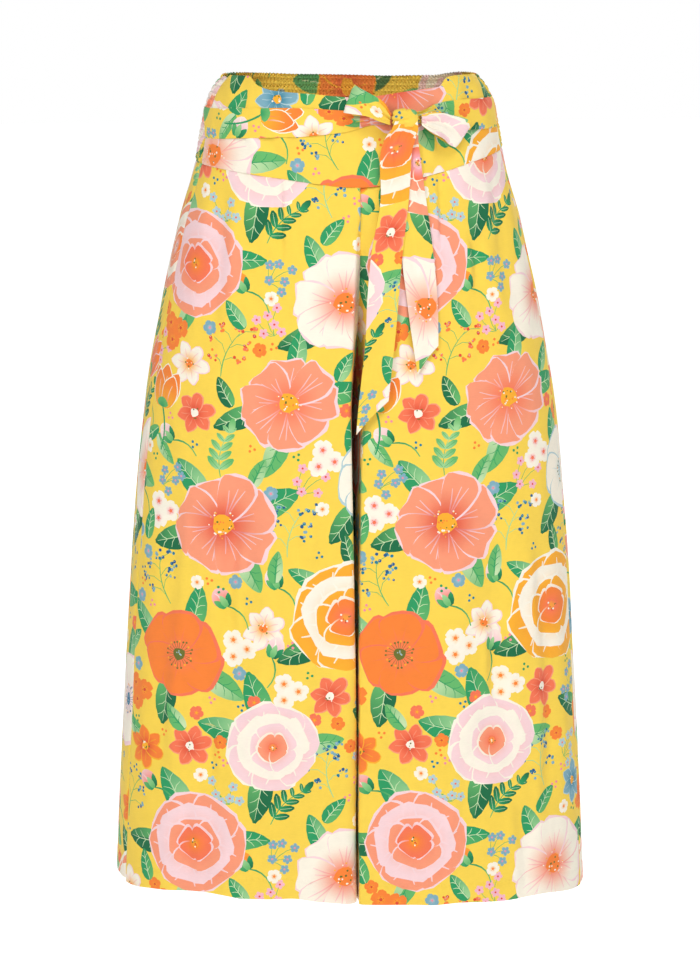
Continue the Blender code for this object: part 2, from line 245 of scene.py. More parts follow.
LOOP_LEFT = table(
    STATION,
    (56.5, -39.5, 56.5, -29, 11.5),
    (65, -47.5, 67, -27.5, 15),
    (77, -54.5, 82, -29.5, 14.5),
    (86, -59.5, 97, -34, 11.5),
    (91.5, -62, 107, -39, 8),
    (86, -59, 97, -35, 4.8),
    (76, -53.5, 82, -30, 4),
    (65, -46, 67, -28, 4.6),
    (56.5, -38.5, 56.5, -30, 7.5),
)
TAIL_LONG = table(
    STATION,
    (31, -35, 51, -35, 16.5),
    (28, -43, 52.5, -43, 14.5),
    (21.5, -54, 51, -52, 11),
    (18, -72, 48, -67, 8),
    (18.5, -112, 46, -106, 5.2),
    (10, -158, 40, -156, 5.2),
    (5.5, -202, 36, -197, 6),
    (3, -248, 32, -241, 7),
    (-3.5, -309, 26, -300, 8),
    (-6.6, -349.5, 23.7, -328, 8.5),
)
TAIL_SHORT = table(
    STATION,
    (44, -37, 53.5, -37, 9.0),
    (38, -46, 54.5, -45, 7.6),
    (35.5, -60, 55.5, -59, 5.6),
    (34, -94, 60.5, -94, 3.2),
    (38, -156, 69, -158, 3),
    (43, -200, 73, -200, 3.2),
    (47.5, -235, 74, -232, 3.6),
    (55.6, -288, 73.5, -271, 4.6),
)
KNOT_CENTRE_X, KNOT_HEIGHT, KNOT_LIFT = 41.0, -32.6, 11.1
KNOT_HALF_SIZE = (13.2, 7.6, 9.6)
KNOT_SQUARENESS = 2.6
# How much of the turn that wraps the knot shows, and two corners of its cloth.
KNOT_TURN = 27.0
KNOT_CLOTH = np.array([(-18, -13), (58, 13)])
SASH_LIFT = CLOTH + SEAM_GAP
SASH_END_LIFT = 0.9
LOOP_TROUGH = 3.0


# ---- where the cloth hangs ----


def smooth(tab, column, at):
    """A column's value at a place in the table, on a monotone smooth curve through its rows."""
    place, value = tab[next(iter(tab))], tab[column]
    step, rise = np.diff(place), np.diff(value) / np.diff(place)
    slope = np.zeros(len(place))
    same_way = rise[:-1] * rise[1:] > 0
    mean = 2 * rise[:-1] * rise[1:] / np.where(same_way, rise[:-1] + rise[1:], 1)
    slope[1:-1] = np.where(same_way, mean, 0)
    slope[0], slope[-1] = rise[0], rise[-1]
    at = np.clip(at, place[0], place[-1])
    row = np.clip(np.searchsorted(place, at, side="right") - 1, 0, len(step) - 1)
    t = (at - place[row]) / step[row]
    start, end = value[row], value[row + 1]
    pull = step[row] * (slope[row] * t * (1 - t) ** 2 - slope[row + 1] * t**2 * (1 - t))
    return start + (end - start) * t**2 * (3 - 2 * t) + pull


def ease(share):
    share = np.clip(share, 0, 1)
    return share * share * (3 - 2 * share)


def bump(away):
    """A soft hill of height 1 at 0 and about a third of it at 1."""
    return np.exp(-(away**2))


def fold_depth(folds, x, height):
    """How far the large folds push the cloth inwards."""
    total = 0.0
    for top_x, top, low_x, low, width, depth in zip(*folds.values()):
        along = np.clip((top - height) / (top - low), 0, 1)
        fade = 1.0 if top > FOLD_FROM_SEAM else ease((top - height) / FOLD_FADE)
        fade = fade * (1.0 if low < HEM_HEIGHT else ease((height - low) / min(top - low, 2 * FOLD_FADE)))
        centre = top_x + (low_x - top_x) * along
        total = total + depth * fade * bump((x - centre) / width)
    return total


def section(x, height, side):
    """How far the plain outline stands out at X, and that as a share of its reach."""
    half, square = (smooth(LEVELS, key, height) for key in ("half_width", "squareness"))
    share = (1 - np.minimum(np.abs(x) / half, 1.0) ** square) ** (1 / square)
    return smooth(LEVELS, "front" if side == FRONT else "back", height) * share, share


def outline_y(x, height, side):
    """Y of the cloth's middle on the front (side -1) or the back (side 1), with folds, no pleat."""
    out, share = section(x, height, side)
    folds = FRONT_FOLDS if side == FRONT else BACK_FOLDS
    inwards = fold_depth(folds, x, height) * np.minimum(1.0, share * 1.6)
    return side * (out - (inwards + smooth(LEVELS, "groove", height) * bump(x / WAIST_FALL_WIDTH)))


def outline_point(angle, height):
    """The outline at a polar angle: 0 is centre front, plus or minus 90 degrees the sides."""
    half, square, front, back = (
        smooth(LEVELS, key, height) for key in ("half_width", "squareness", "front", "back")
    )
    ahead = np.cos(angle) > 0
    reach = np.where(ahead, front, back)
    radius = (np.abs(np.sin(angle)) / half) ** square + (np.abs(np.cos(angle)) / reach) ** square
    x = radius ** (-1 / square) * np.sin(angle)
    return x, np.where(ahead, outline_y(x, height, FRONT), outline_y(x, height, BACK))


def pleat_values(height, wearer, side):
    """Edge, roundness and seam depth of the pleat or groove, for one leg panel."""
    if side == FRONT:
        name = "right" if wearer == WEARER_RIGHT else "left"
        return [smooth(PLEAT, key, height) for key in (name + "_edge", name + "_round", "depth")]
    edge, roundness, depth = (smooth(BACK_GROOVE, key, height) for key in ("edge", "round", "depth"))
    return wearer * edge, roundness, depth


def leg_point(place, height, wearer, side):
    """A panel's cloth middle: place 0 to 1 runs round the leg, 1 to 2 the folded edge, 2 to 3 in."""
    edge, radius, depth = pleat_values(height, wearer, side)

    def cloth_in(x):
        return -side * outline_y(x, height, side)

    centre_x = edge + wearer * radius
    start = np.arctan(cloth_in(centre_x - wearer) - cloth_in(centre_x))
    tangent_x = centre_x - wearer * radius * np.sin(start)
    centre_in = cloth_in(tangent_x) + radius * np.cos(start)
    seam_in = np.minimum(cloth_in(0.0 * height) + depth, -side * CROTCH_Y - HALF_GAP)
    below = ease((CROTCH_HEIGHT - height) / INSEAM_SPREAD)
    seam_x = wearer * (SEAM_HALF_DISTANCE + (INSEAM_HALF_DISTANCE - SEAM_HALF_DISTANCE) * below)
    away_x, away_in = -wearer * (seam_x - centre_x), seam_in - centre_in
    reach = np.arccos(np.minimum(radius / np.hypot(away_x, away_in), 1))
    end = np.arctan2(away_in, away_x) - reach + math.pi / 2
    side_angle = SIDE_SEAM_ANGLE + side * HALF_GAP / smooth(LEVELS, "half_width", height)
    fold_angle = np.abs(np.arctan2(tangent_x, -side * section(tangent_x, height, side)[0]))
    angle = side_angle + (fold_angle - side_angle) * np.minimum(place, 1)
    around_x, around_y = outline_point(wearer * angle, height)
    turn = start + (end - start) * np.clip(place - 1, 0, 1)
    x = centre_x - wearer * radius * np.sin(turn)
    inwards = centre_in - radius * np.cos(turn)
    straight = np.maximum(place - 2, 0)
    x = x + (seam_x - x) * straight
    inwards = inwards + (seam_in - inwards) * straight
    return np.where(place <= 1, around_x, x), np.where(place <= 1, around_y, -side * inwards)


def unit(vectors):
    return vectors / np.linalg.norm(vectors, axis=1, keepdims=True)


class Lay:
    """How a piece of cloth hangs. It holds a grid of points over the cloth's s and t, and a relief.

    The relief is a function of s and t that gives how far the cloth stands out there, for its creases,
    seams and stitching. Points are found by s across and t up, as seen from the cloth's right side.
    """

    def __init__(self, s, t, points):
        self.s, self.t = s, t
        slopes = np.gradient(points, s, axis=1), np.gradient(points, t, axis=0)
        self.channels = np.concatenate([points, *slopes], axis=2)

    def base(self, s, t):
        """Point, direction of s and direction of t, by straight steps between the grid's rows."""
        column = np.clip((s - self.s[0]) / (self.s[1] - self.s[0]), 0, len(self.s) - 1.001)
        row = np.clip((t - self.t[0]) / (self.t[1] - self.t[0]), 0, len(self.t) - 1.001)
        i, j = row.astype(int), column.astype(int)
        u, v = (row - i)[:, None], (column - j)[:, None]
        grid = self.channels
        low = grid[i, j] * (1 - v) + grid[i, j + 1] * v
        high = grid[i + 1, j] * (1 - v) + grid[i + 1, j + 1] * v
        found = low * (1 - u) + high * u
        return found[:, :3], found[:, 3:6], found[:, 6:]

    def surface(self, s, t):
        """The cloth's middle, with its relief."""
        point, across, up = self.base(s, t)
        return point + unit(np.cross(across, up)) * self.relief(s, t)[:, None]

    def place(self, s, t, out):
        """The cloth's points, moved out by a distance, and its outward normals."""
        _, across, up = self.base(s, t)
        step, tilt = 0.2, 0
        for run, ds, dt in ((across, step, 0), (up, 0, step)):
            slope = (self.relief(s + ds, t + dt) - self.relief(s - ds, t - dt)) / (2 * step)
            tilt = tilt + slope[:, None] * run / (run**2).sum(1, keepdims=True)
        normal = unit(unit(np.cross(across, up)) - tilt)
        return self.surface(s, t) + normal * np.reshape(out, (-1, 1)), normal


def lengths(points):
    """Length along a line of points, or along each row of a grid of them, from its first point."""
    steps = np.linalg.norm(np.diff(points, axis=-2), axis=-1)
    return np.concatenate([0 * steps[..., :1], np.cumsum(steps, axis=-1)], axis=-1)


def even_rows(places, points, s):
    """The rows' points at even steps of s, from points at uneven places."""
    rows = []
    for here, line in zip(places, points):
        if here[0] > here[-1]:
            here, line = here[::-1], line[::-1]
        rows.append(np.stack([np.interp(s, here, line[:, axis]) for axis in range(3)], axis=1))
    return np.array(rows)


def leg_lay(wearer, side):
    """Where a leg panel hangs, and its edges and folded line as s for each height."""
    heights = np.arange(HEM_HEIGHT - 9, -56, 3.0)
    around = np.linspace(-0.1, 1, 460)
    places = np.concatenate([around, np.linspace(1, 2, 31)[1:], np.linspace(2, 3, 61)[1:]])
    grid_place, grid_height = np.meshgrid(places, heights)
    x, y = leg_point(grid_place, grid_height, wearer, side)
    points = np.stack([x, y, grid_height], axis=2)
    onward = points[:, -1] + unit(points[:, -1] - points[:, -2]) * 20
    points = np.concatenate([points, onward[:, None]], axis=1)
    run = lengths(points)
    grain = []
    for row, there in zip(np.abs(points[:, : len(around), 0]), run):
        widest = int(row.argmax())
        grain.append([np.interp(-GRAIN_LINE, -row[widest:], there[widest : len(around)])])
    way = wearer * side
    across = -way * GRAIN_LINE + way * (run - grain)
    s = np.arange(math.floor(across.min()), math.ceil(across.max()) + 1, 1.0)
    lay = Lay(s, heights, even_rows(across, points, s))
    lines = {
        number: np.array([np.interp(number, places, row[:-1]) for row in across])
        for number in (0, 1, 1.2, 1.4, 1.6, 1.8, 2, 3)
    }
    return lay, heights, lines, way


def waist_lay(side):
    """Where the yoke (front) or the back band hangs, with s measured from its middle."""
    heights = np.arange(-114.0, 10.5, 1.5)
    angles = np.linspace(-2.0, 2.0, 1000)
    turn = angles if side == FRONT else math.pi - angles
    grid_angle, grid_height = np.meshgrid(turn, heights)
    x, y = outline_point(grid_angle, grid_height)
    points = np.stack([x, y, grid_height], axis=2)
    run = lengths(points)
    run = -side * (run - (run[:, [len(angles) // 2]] * 0.5 + run[:, [len(angles) // 2 - 1]] * 0.5))
    s = np.arange(-260.0, 260.5, 1.0)
    lay = Lay(s, heights, even_rows(run, points, s))
    seam_angle = SIDE_SEAM_ANGLE if side == FRONT else math.pi - SIDE_SEAM_ANGLE
    seam = np.array([np.interp(seam_angle, angles, row) for row in np.abs(run) * np.sign(angles)])
    return lay, heights, seam


def on_front(x, height, lift):
    """A point a given way out from the front outline, square to it as seen from above."""
    y = outline_y(x, height, FRONT)
    slope = outline_y(x + 0.5, height, FRONT) - outline_y(x - 0.5, height, FRONT)
    length = np.hypot(slope, 1)
    return np.stack([x + lift * slope / length, y - lift / length, height], axis=-1)


def spline(values, at):
    """A rounded curve through evenly spaced values."""
    last = len(values) - 1
    i = np.minimum(at.astype(int), last - 1)
    t = at - i
    a, b, c, d = (values[np.clip(i + k, 0, last)] for k in (-1, 0, 1, 2))
    return b + 0.5 * t * (c - a + t * (2 * a - 5 * b + 4 * c - d + t * (3 * (b - c) + d - a)))


def sash_lay(edges, first_x, last_x):
    """A flat stretch of the tie round the yoke: s runs along it, t up across it."""
    x = np.arange(first_x - 3, last_x + 3.5, 1.0)
    t = np.linspace(-1.0, TIE_WIDTH + 1, 33)
    top, bottom = smooth(edges, "top", x), smooth(edges, "bottom", x)
    height = bottom + (top - bottom) * (t[:, None] / TIE_WIDTH)
    lift = SASH_LIFT + (SASH_END_LIFT - SASH_LIFT) * ease((np.abs(x) - 126) / 13)
    points = on_front(np.broadcast_to(x, height.shape), height, lift)
    run = lengths(points[len(t) // 2])
    s = np.arange(0.0, run[-1], 1.0)
    return Lay(s, t, even_rows([run] * len(t), points, s))


def ribbon_lay(rows, way, trough=0.0):
    """A loop or a tail through the table's stations, and its length. Way is 1 or -1 along s; 0 hangs."""
    last = len(rows["lift"]) - 1
    station = np.linspace(0, last, 60 * last)
    low_x, low, high_x, high, lift = (spline(column, station)[:, None] for column in rows.values())
    opening = np.sin(math.pi * np.minimum(2 * station / last, 1))[:, None]
    width = np.linspace(-1.0, TIE_WIDTH + 1, 33)
    share = width / TIE_WIDTH
    dip = trough * np.sin(math.pi * np.clip(share, 0, 1)) ** 2 * opening
    points = on_front(low_x + (high_x - low_x) * share, low + (high - low) * share, lift - dip)
    run = lengths(points[:, len(width) // 2])
    length, lines = run[-1], points.transpose(1, 0, 2)
    if way:
        s = np.arange(0.0, length, 1.0)
        if way < 0:
            run, lines = length - run[::-1], lines[:, ::-1]
        return Lay(s, width, even_rows([run] * len(width), lines, s)), length
    t = np.arange(-math.floor(length), 0.5, 1.0)
    lines = even_rows([-run[::-1]] * len(width), lines[:, ::-1], t)
    return Lay(width, t, lines.transpose(1, 0, 2)), length


# ---- the printed pattern, as flat areas of colour ----

TILE = np.array([460.0, 570.0])

PAINT = {
    "ground": (0.985, 0.838, 0.315),
    "cream": (0.992, 0.958, 0.885),
    "blush": (0.982, 0.84, 0.85),
    "pink": (0.97, 0.72, 0.78),
    "rose": (0.955, 0.56, 0.62),
    "salmon": (0.985, 0.61, 0.47),
    "coral": (0.972, 0.47, 0.33),
    "orange": (0.985, 0.52, 0.21),
    "amber": (0.99, 0.69, 0.18),
    "red": (0.88, 0.3, 0.2),
    "green": (0.17, 0.61, 0.38),
    "deep_green": (0.095, 0.43, 0.27),
    "leaf": (0.4, 0.72, 0.42),
    "mint": (0.64, 0.84, 0.59),
    "pale_mint": (0.8, 0.9, 0.7),
    "olive": (0.42, 0.44, 0.18),
    "teal": (0.11, 0.5, 0.61),
    "blue": (0.13, 0.36, 0.56),
    "mist": (0.5, 0.68, 0.74),
    "pale_mist": (0.7, 0.81, 0.83),
}


def ring(points):
    """Even angles round a full turn."""
    return np.linspace(0, 2 * math.pi, points, endpoint=False)


def polar(away, angle):
    return away * math.cos(angle), away * math.sin(angle)


def spread(rng, count, play, start=0.0):
    """The number and the angle of each of some parts round a full turn, set a little unevenly."""
    for k in range(count):
        yield k, (k + start) * 2 * math.pi / count + rng.uniform(-play, play)


def egg(length, width, belly=0.0, tip=1.0, points=14, ruffle=0.0, waves=5, phase=0.0, notch=0.0):
    """A petal or leaf outline from (0, 0) up to (0, length). Belly below 0 is widest near the tip."""
    around = ring(points)
    up = (1 - np.cos(around)) / 2
    x = width / 2 * np.sign(np.sin(around)) * np.abs(np.sin(around)) ** np.where(up > 0.5, tip, 1.0)
    x *= 1 + belly * np.cos(around)
    y = length * (up - notch * bump((around - math.pi) / 0.4))
    grow = 1 + ruffle * np.sin(waves * around + phase) * up
    return pairs(x * grow, y * (1 + (grow - 1) * 0.6))


def stroke(start, end, wide, narrow=0.0, bow=0.0, steps=6):
    """A brush stroke that tapers from wide at its start to narrow at its end, bowed to one side."""
    start, end = np.array(start, float), np.array(end, float)
    along = np.linspace(0, 1, steps)[:, None]
    run = end - start
    line = start + run * along + np.array([-run[1], run[0]]) * bow * 4 * along * (1 - along)
    way = unit(np.gradient(line, axis=0))
    half = (wide + (narrow - wide) * along) / 2 * np.minimum(1, 0.55 + 3 * along)
    across = pairs(-way[:, 1], way[:, 0]) * half
    return np.concatenate([line + across, (line - across)[::-1]])


def dot(x, y, radius, points):
    around = ring(points)
    return pairs(x + radius * np.cos(around), y + radius * np.sin(around))


def blot(radius, rng, points):
    """A round shape with an uneven edge."""
    around = ring(points)
    uneven = np.sin(3 * around + rng.uniform(0, 6)) + 0.6 * np.sin(5 * around + rng.uniform(0, 6))
    return dot(0, 0, radius * (1 + 0.08 * uneven), points)


def turned(points, angle, x=0.0, y=0.0):
    c, s = math.cos(angle), math.sin(angle)
    return points @ np.array([[c, s], [-s, c]]) + (x, y)


def paint(points, near, far=None, reach=1.0, centre=(0.0, 0.0)):
    """One flat area of colour. It blends from near, at its centre, to far at that reach."""
    return Area(points, near, far or near, reach, centre)


def moved(areas, angle=0.0, x=0.0, y=0.0, size=1.0):
    """Areas scaled, turned and then moved."""

    def shift(part):
        return turned(np.array(part) * size, angle, x, y)

    return [
        area._replace(outline=shift(area.outline), centre=shift(area.centre), reach=area.reach * size)
        for area in areas
    ]


def stipple(rng, count, radius, size, colours, inner=0.0):
    """Small dots in a disc or a ring."""
    areas = []
    for k in range(count):
        angle = rng.uniform(0, 2 * math.pi)
        away = math.sqrt(rng.uniform((inner / radius) ** 2, 1)) * radius
        spot = dot(*polar(away, angle), size * rng.uniform(0.7, 1.3), 5)
        areas.append(paint(spot, colours[k % len(colours)]))
    return areas


def cosmos(rng, petal, deep, edge, heart):
    """An open flower of eight broad petals with notched tips."""
    areas = []
    for k, angle in spread(rng, 8, 0.07):
        length = 47 + rng.uniform(-4, 4)
        width = 33 + rng.uniform(-2, 3)
        phase = rng.uniform(0, 6)
        back = egg(length + 1.5, width + 2, -0.42, 0.8, 24, 0.05, 6, phase + 1, 0.06)
        front = egg(length, width - 1, -0.45, 0.8, 24, 0.045, 6, phase + 2, 0.08)
        areas += moved([paint(back, edge if k % 2 else deep, edge, length)], angle, 0.8, -0.6)
        areas += moved([paint(front, deep, petal, length * 0.72)], angle)
        for lean in (-0.22, 0.02, 0.24):
            tip = (30 * lean, length * rng.uniform(0.55, 0.8))
            streak = stroke((4 * lean, 9), tip, 1.9, 0.5, lean * 0.1, 3)
            areas += moved([paint(streak, deep, edge, length * 0.8)], angle)
    areas.append(paint(blot(9.5, rng, 12), heart, heart))
    areas += stipple(rng, 18, 8.5, 0.95, ("olive", "cream", "orange"))
    areas += stipple(rng, 14, 13.5, 0.8, ("amber", "cream"), inner=10)
    return areas


def garden_rose(rng, outer, middle, inner, rim):
    """A full double rose seen from above: rings of overlapping rounded petals."""
    areas = []
    rings = (
        (7, 47, 42, outer, middle),
        (6, 36, 34, middle, rim),
        (5, 25, 26, outer, middle),
        (4, 15, 18, inner, outer),
    )
    for ring, (count, length, width, near, far) in enumerate(rings):
        for _, angle in spread(rng, count, 0.12, 0.5 * (ring % 2)):
            size = rng.uniform(0.93, 1.07)
            phase = rng.uniform(0, 6)
            lip = egg(length * size + 1.6, width * size + 2.2, -0.5, 0.72, 20, 0.045, 5, phase)
            face = egg(length * size, width * size, -0.5, 0.72, 20, 0.04, 5, phase + 1)
            areas += moved([paint(lip, rim if ring < 3 else far, rim, 20)], angle, 0.5, 0.9)
            areas += moved([paint(face, near, far, length)], angle)
            for lean in (-0.3, 0.3) if ring < 2 else ():
                start, end = (9 * lean, length * 0.5), (34 * lean, length * 0.86)
                brush = stroke(start, end, 3.4, 0.9, 0.14 * lean, 4)
                areas += moved([paint(brush, far, rim, length)], angle)
    areas.append(paint(blot(5.5, rng, 10), "amber", inner, 5))
    areas += stipple(rng, 9, 4.5, 0.8, ("red", "olive", "cream"))
    return areas


def anemone(rng, petal, shade, stamen, heart):
    """Six round petals round a dark eye with a ring of stamens."""
    areas = []
    for _, angle in spread(rng, 6, 0.1):
        length = 43 + rng.uniform(-3, 4)
        phase = rng.uniform(0, 6)
        back = egg(length + 1.2, 43, -0.38, 0.75, 24, 0.045, 5, phase)
        front = egg(length - 1.5, 39, -0.38, 0.75, 24, 0.04, 5, phase + 0.5)
        areas += moved([paint(back, shade, shade, 40)], angle, 0.9, -0.9)
        areas += moved([paint(front, shade, petal, length * 0.55)], angle)
        for lean in (-0.25, 0.18):
            fold = stroke((12 * lean, 12), (42 * lean, length * 0.8), 1.8, 0.3, 0.12 * lean, 4)
            areas += moved([paint(fold, shade, petal, length * 0.9)], angle)
    for k, angle in spread(rng, 22, 0.08):
        away = 13.5 + rng.uniform(-1.6, 1.6)
        areas += moved([paint(stroke((0, 6), (0, away), 0.6, 0.5, 0, 2), stamen)], angle)
        spot = dot(-away * math.sin(angle), away * math.cos(angle), 1.15, 6)
        areas.append(paint(spot, heart if k % 3 else "amber"))
    areas.append(paint(blot(6.3, rng, 11), heart, stamen, 6))
    areas += stipple(rng, 7, 4.5, 0.7, ("pale_mist",))
    return areas


def tulip(_, near, far, rim, stem):
    """A cup-shaped flower from the side, on a short stem."""
    areas = [paint(stroke((0, 4), (9, -46), 2.6, 1.7, 0.1, 8), stem)]
    petals = ((-3, 0.36, 43, 24), (3, -0.36, 43, 24), (0, 0.0, 46, 27))
    petals += ((-6, 0.2, 38, 22), (6, -0.17, 36, 23))
    for number, (x, lean, length, width) in enumerate(petals):
        tip = 1.25 if number < 2 else 1.2
        parts = [paint(egg(length + 1.4, width + 2.2, 0.0, tip, 18, 0.045, 4, 2), rim)]
        parts.append(paint(egg(length, width, 0.0, tip, 18, 0.045, 4, 2), near, far, length))
        if number > 1:
            parts.append(paint(stroke((1, 8), (2, length * 0.75), 2.4, 0.5, 0.06, 4), far, rim, length))
            deep = stroke((-4, 10), (-5, length * 0.6), 1.5, 0.3, -0.06, 4)
            parts.append(paint(deep, "coral", near, length))
        areas += moved(parts, lean, x)
    areas.append(paint(egg(11, 20, 0.3, 1, 10), "green", "leaf", 10))
    return areas


def bellflower(_, near, far, deep):
    """A curved stem with hanging bells."""
    areas = [paint(stroke((0, -42), (24, 40), 2.0, 0.9, -0.2, 9), "leaf", "mint", 60)]
    for k in range(6):
        share = 0.32 + 0.13 * k
        side = -1 if k % 2 else 1
        size = 1.0 - 0.1 * k
        x = 24 * share + 52.8 * share * (1 - share) + side * 4.5 * size
        y = -42 + 82 * share
        areas.append(paint(stroke((x - side * 4.5, y + 1), (x, y - 2), 1.0, 0.8, 0.2 * side, 3), "leaf"))
        parts = []
        for lean in (-1, 0, 1):
            foot, tip = (lean * 5.2 * size, -12 * size), (lean * 7.0 * size, -18 * size)
            parts.append(paint(stroke(foot, tip, 5.4 * size, 0.6, 0.1 * lean, 3), near, far, 17))
        bell = egg(15 * size, 15 * size, -0.35, 0.8, 12) * (1, -1)
        gleam = stroke((-2 * size, -3), (-3 * size, -11 * size), 1.5, 0.6, 0.1, 3)
        parts += [paint(bell[::-1], deep, near, 12 * size), paint(gleam, far)]
        areas += moved(parts, side * 0.35, x, y)
    return moved(areas, size=0.72)


def blossom(rng, petal, heart, eye, size=0.55):
    """A small five-petalled blossom, 26 mm across at full size."""
    areas = []
    for _, angle in spread(rng, 5, 0.1):
        face = egg(13.2, 11.4, -0.35, 0.8, 10, 0.05, 4, rng.uniform(0, 6))
        areas += moved([paint(face, heart, petal, 6.5)], angle)
    areas.append(paint(dot(0, 0, 2.3, 8), eye))
    for k in range(5):
        areas.append(paint(dot(*polar(3.6, (k + 0.5) * 2 * math.pi / 5), 0.7, 4), eye))
    return moved(areas, size=size)


def blossoms(rng, *tones):
    """Three blossoms together."""
    areas = []
    for turn in (0.3, 2.4, 4.5):
        areas += moved(blossom(rng, *tones, 1.0), turn, *polar(9.5, turn), 0.8)
    return areas


def star(rng, petal, deep, edge, heart):
    """A pointed flower of six petals, 40 mm across."""
    areas = []
    for k, angle in spread(rng, 6, 0.1):
        length = 21 + rng.uniform(-2, 2)
        areas += moved([paint(egg(length + 1, 14.5, -0.12, 1.35, 14, 0.05, 4, k), edge)], angle, 0.4, -0.3)
        areas += moved([paint(egg(length, 12.5, -0.12, 1.35, 14, 0.05, 4, k), deep, petal, 15)], angle)
        areas += moved([paint(stroke((0, 5), (1, 15), 1.7, 0.5, 0.05, 3), deep, edge, 16)], angle)
    areas.append(paint(blot(4.3, rng, 9), heart))
    areas += stipple(rng, 8, 5.6, 0.8, ("olive", "cream"))
    return areas


def leaf(length, width, dark, light, bend, teeth=0.0):
    """A leaf in two tones, with its midrib and veins."""
    outline = egg(length, width, 0.22, 1.35, 26 if teeth else 16, teeth, 13, 0.5)
    half = outline[outline[:, 0] > 0.4]
    half = np.concatenate([half[np.argsort(half[:, 1])], [[0.35, length * 0.99], [0.3, 1.0]]])
    veins = [stroke((0, 1), (0.2, length * 0.93), 1.4, 0.35, 0.0, 4)]
    for share in (0.27, 0.48, 0.68):
        reach = width * 0.36 * math.sin(math.pi * (share * 0.8 + 0.14))
        for side in (-1, 1):
            tip = (side * reach, length * (share + 0.14))
            veins.append(stroke((0, length * share), tip, 1.0, 0.35, 0.1 * side, 3))
    areas = [paint(outline, dark), paint(half, light, dark, length * 1.25)]
    areas += [paint(vein, "pale_mint" if dark in ("green", "deep_green") else "green") for vein in veins]
    shift = [bend * area.outline[:, 1:] ** 2 / length * (1, 0) for area in areas]
    return [area._replace(outline=area.outline + aside) for area, aside in zip(areas, shift)]


def small_leaf(_, dark, light):
    return moved(leaf(32, 15, dark, light, 0.15), 0, 0, -16)


def fern(rng, near, far):
    """A curved stem with small leaves on both sides."""
    length, count, rib_tone = 46, 5, "green" if near == "mint" else "pale_mint"
    areas = [paint(stroke((0, 0), (6, length), 1.5, 0.5, 0.12, 7), "leaf", near, length)]
    for k in range(count):
        share = (k + 0.8) / count
        x = 6 * share - 0.48 * length * share * (1 - share)
        for side in (-1, 1):
            size = (1.1 - 0.55 * share) * rng.uniform(0.88, 1.12)
            blade = paint(egg(17 * size, 7.4 * size, 0.0, 1.3, 9), near, far, 15)
            rib = paint(stroke((0, 1), (0, 14 * size), 0.7, 0.3, 0, 2), rib_tone)
            areas += moved([blade, rib], side * -0.85, x, length * share)
    areas += moved([paint(egg(14, 7, 0.0, 1.3, 9), near, far, 14)], -0.1, 6, length - 1)
    return moved(areas, 0, 0, -24)


def berries(rng, twig, *fruit):
    """A branching twig with clusters of small berries."""
    height = 46
    areas = [paint(stroke((0, -height / 2), (3, height / 2), 1.4, 0.6, 0.1, 7), twig)]
    clusters = []
    for k in range(6):
        share = 0.2 + 0.14 * k
        side = 1 if k % 2 else -1
        start = (3 * share - 0.4 * height * share * (1 - share), -height / 2 + height * share)
        end = (start[0] + side * rng.uniform(11, 19), start[1] + rng.uniform(6, 13))
        areas.append(paint(stroke(start, end, 0.9, 0.5, 0.15 * side, 3), twig))
        clusters.append(end)
    clusters.append((3.0, height / 2 + 3))
    for number, (x, y) in enumerate(clusters):
        for k in range(rng.integers(5, 8)):
            angle, away = rng.uniform(0, 2 * math.pi), rng.uniform(1.5, 5.6)
            spot = (x + away * math.cos(angle), y + away * math.sin(angle))
            areas.append(paint(dot(*spot, rng.uniform(1.3, 2.0), 6), fruit[(number + k) % len(fruit)]))
            if k % 2:
                areas.append(paint(dot(spot[0] - 0.4, spot[1] + 0.5, 0.55, 4), "pale_mist"))
    return areas


def bud(_, fruit, light):
    """A round bud on a curved stem with three sepals."""
    areas = [paint(stroke((0, 0), (7, -30), 1.9, 1.2, 0.18, 6), "green", "leaf", 30)]
    areas.append(paint(egg(21, 18, 0.1, 1.1, 14), fruit, light, 26, (0, 2)))
    areas.append(paint(stroke((-2, 6), (-3, 18), 2.6, 0.6, -0.12, 4), light))
    sepals = ((0.45, -1.5, "green", "leaf"), (-0.5, 1.5, "deep_green", "green"), (0, 0, "leaf", "mint"))
    for lean, x, near, far in sepals:
        areas += moved([paint(egg(14, 6.5, 0.2, 1.4, 9), near, far, 15)], lean, x, -1)
    return moved(areas, 0, 0, 6)


def drops(_, colour):
    return [paint(dot(*polar(3, turn), 1.5, 6), colour) for turn in (0.4, 2.5, 4.6)]


def sprigs(rng, petal, heart):
    """A loose cluster of tiny five-petalled flowers."""
    count, reach, areas, spots = 6, 14, [], []
    for _ in range(count):
        for _ in range(30):
            x, y = rng.uniform(-reach, reach, 2)
            if all(math.hypot(x - a, y - b) > 8.6 for a, b in spots):
                break
        spots.append((x, y))
        areas.append(paint(stroke((0, -reach), (x, y), 0.8, 0.5, 0.1, 4), "leaf"))
    for x, y in spots:
        turn = rng.uniform(0, 1.2)
        for k in range(5):
            areas += moved([paint(egg(5.2, 3.9, -0.2, 0.9, 6), petal)], turn + k * 2 * math.pi / 5, x, y)
        areas.append(paint(dot(x, y, 1.2, 5), heart))
    return areas


def rows_of(names, *rows):
    return [dict(zip(names.split(), row)) for row in rows]


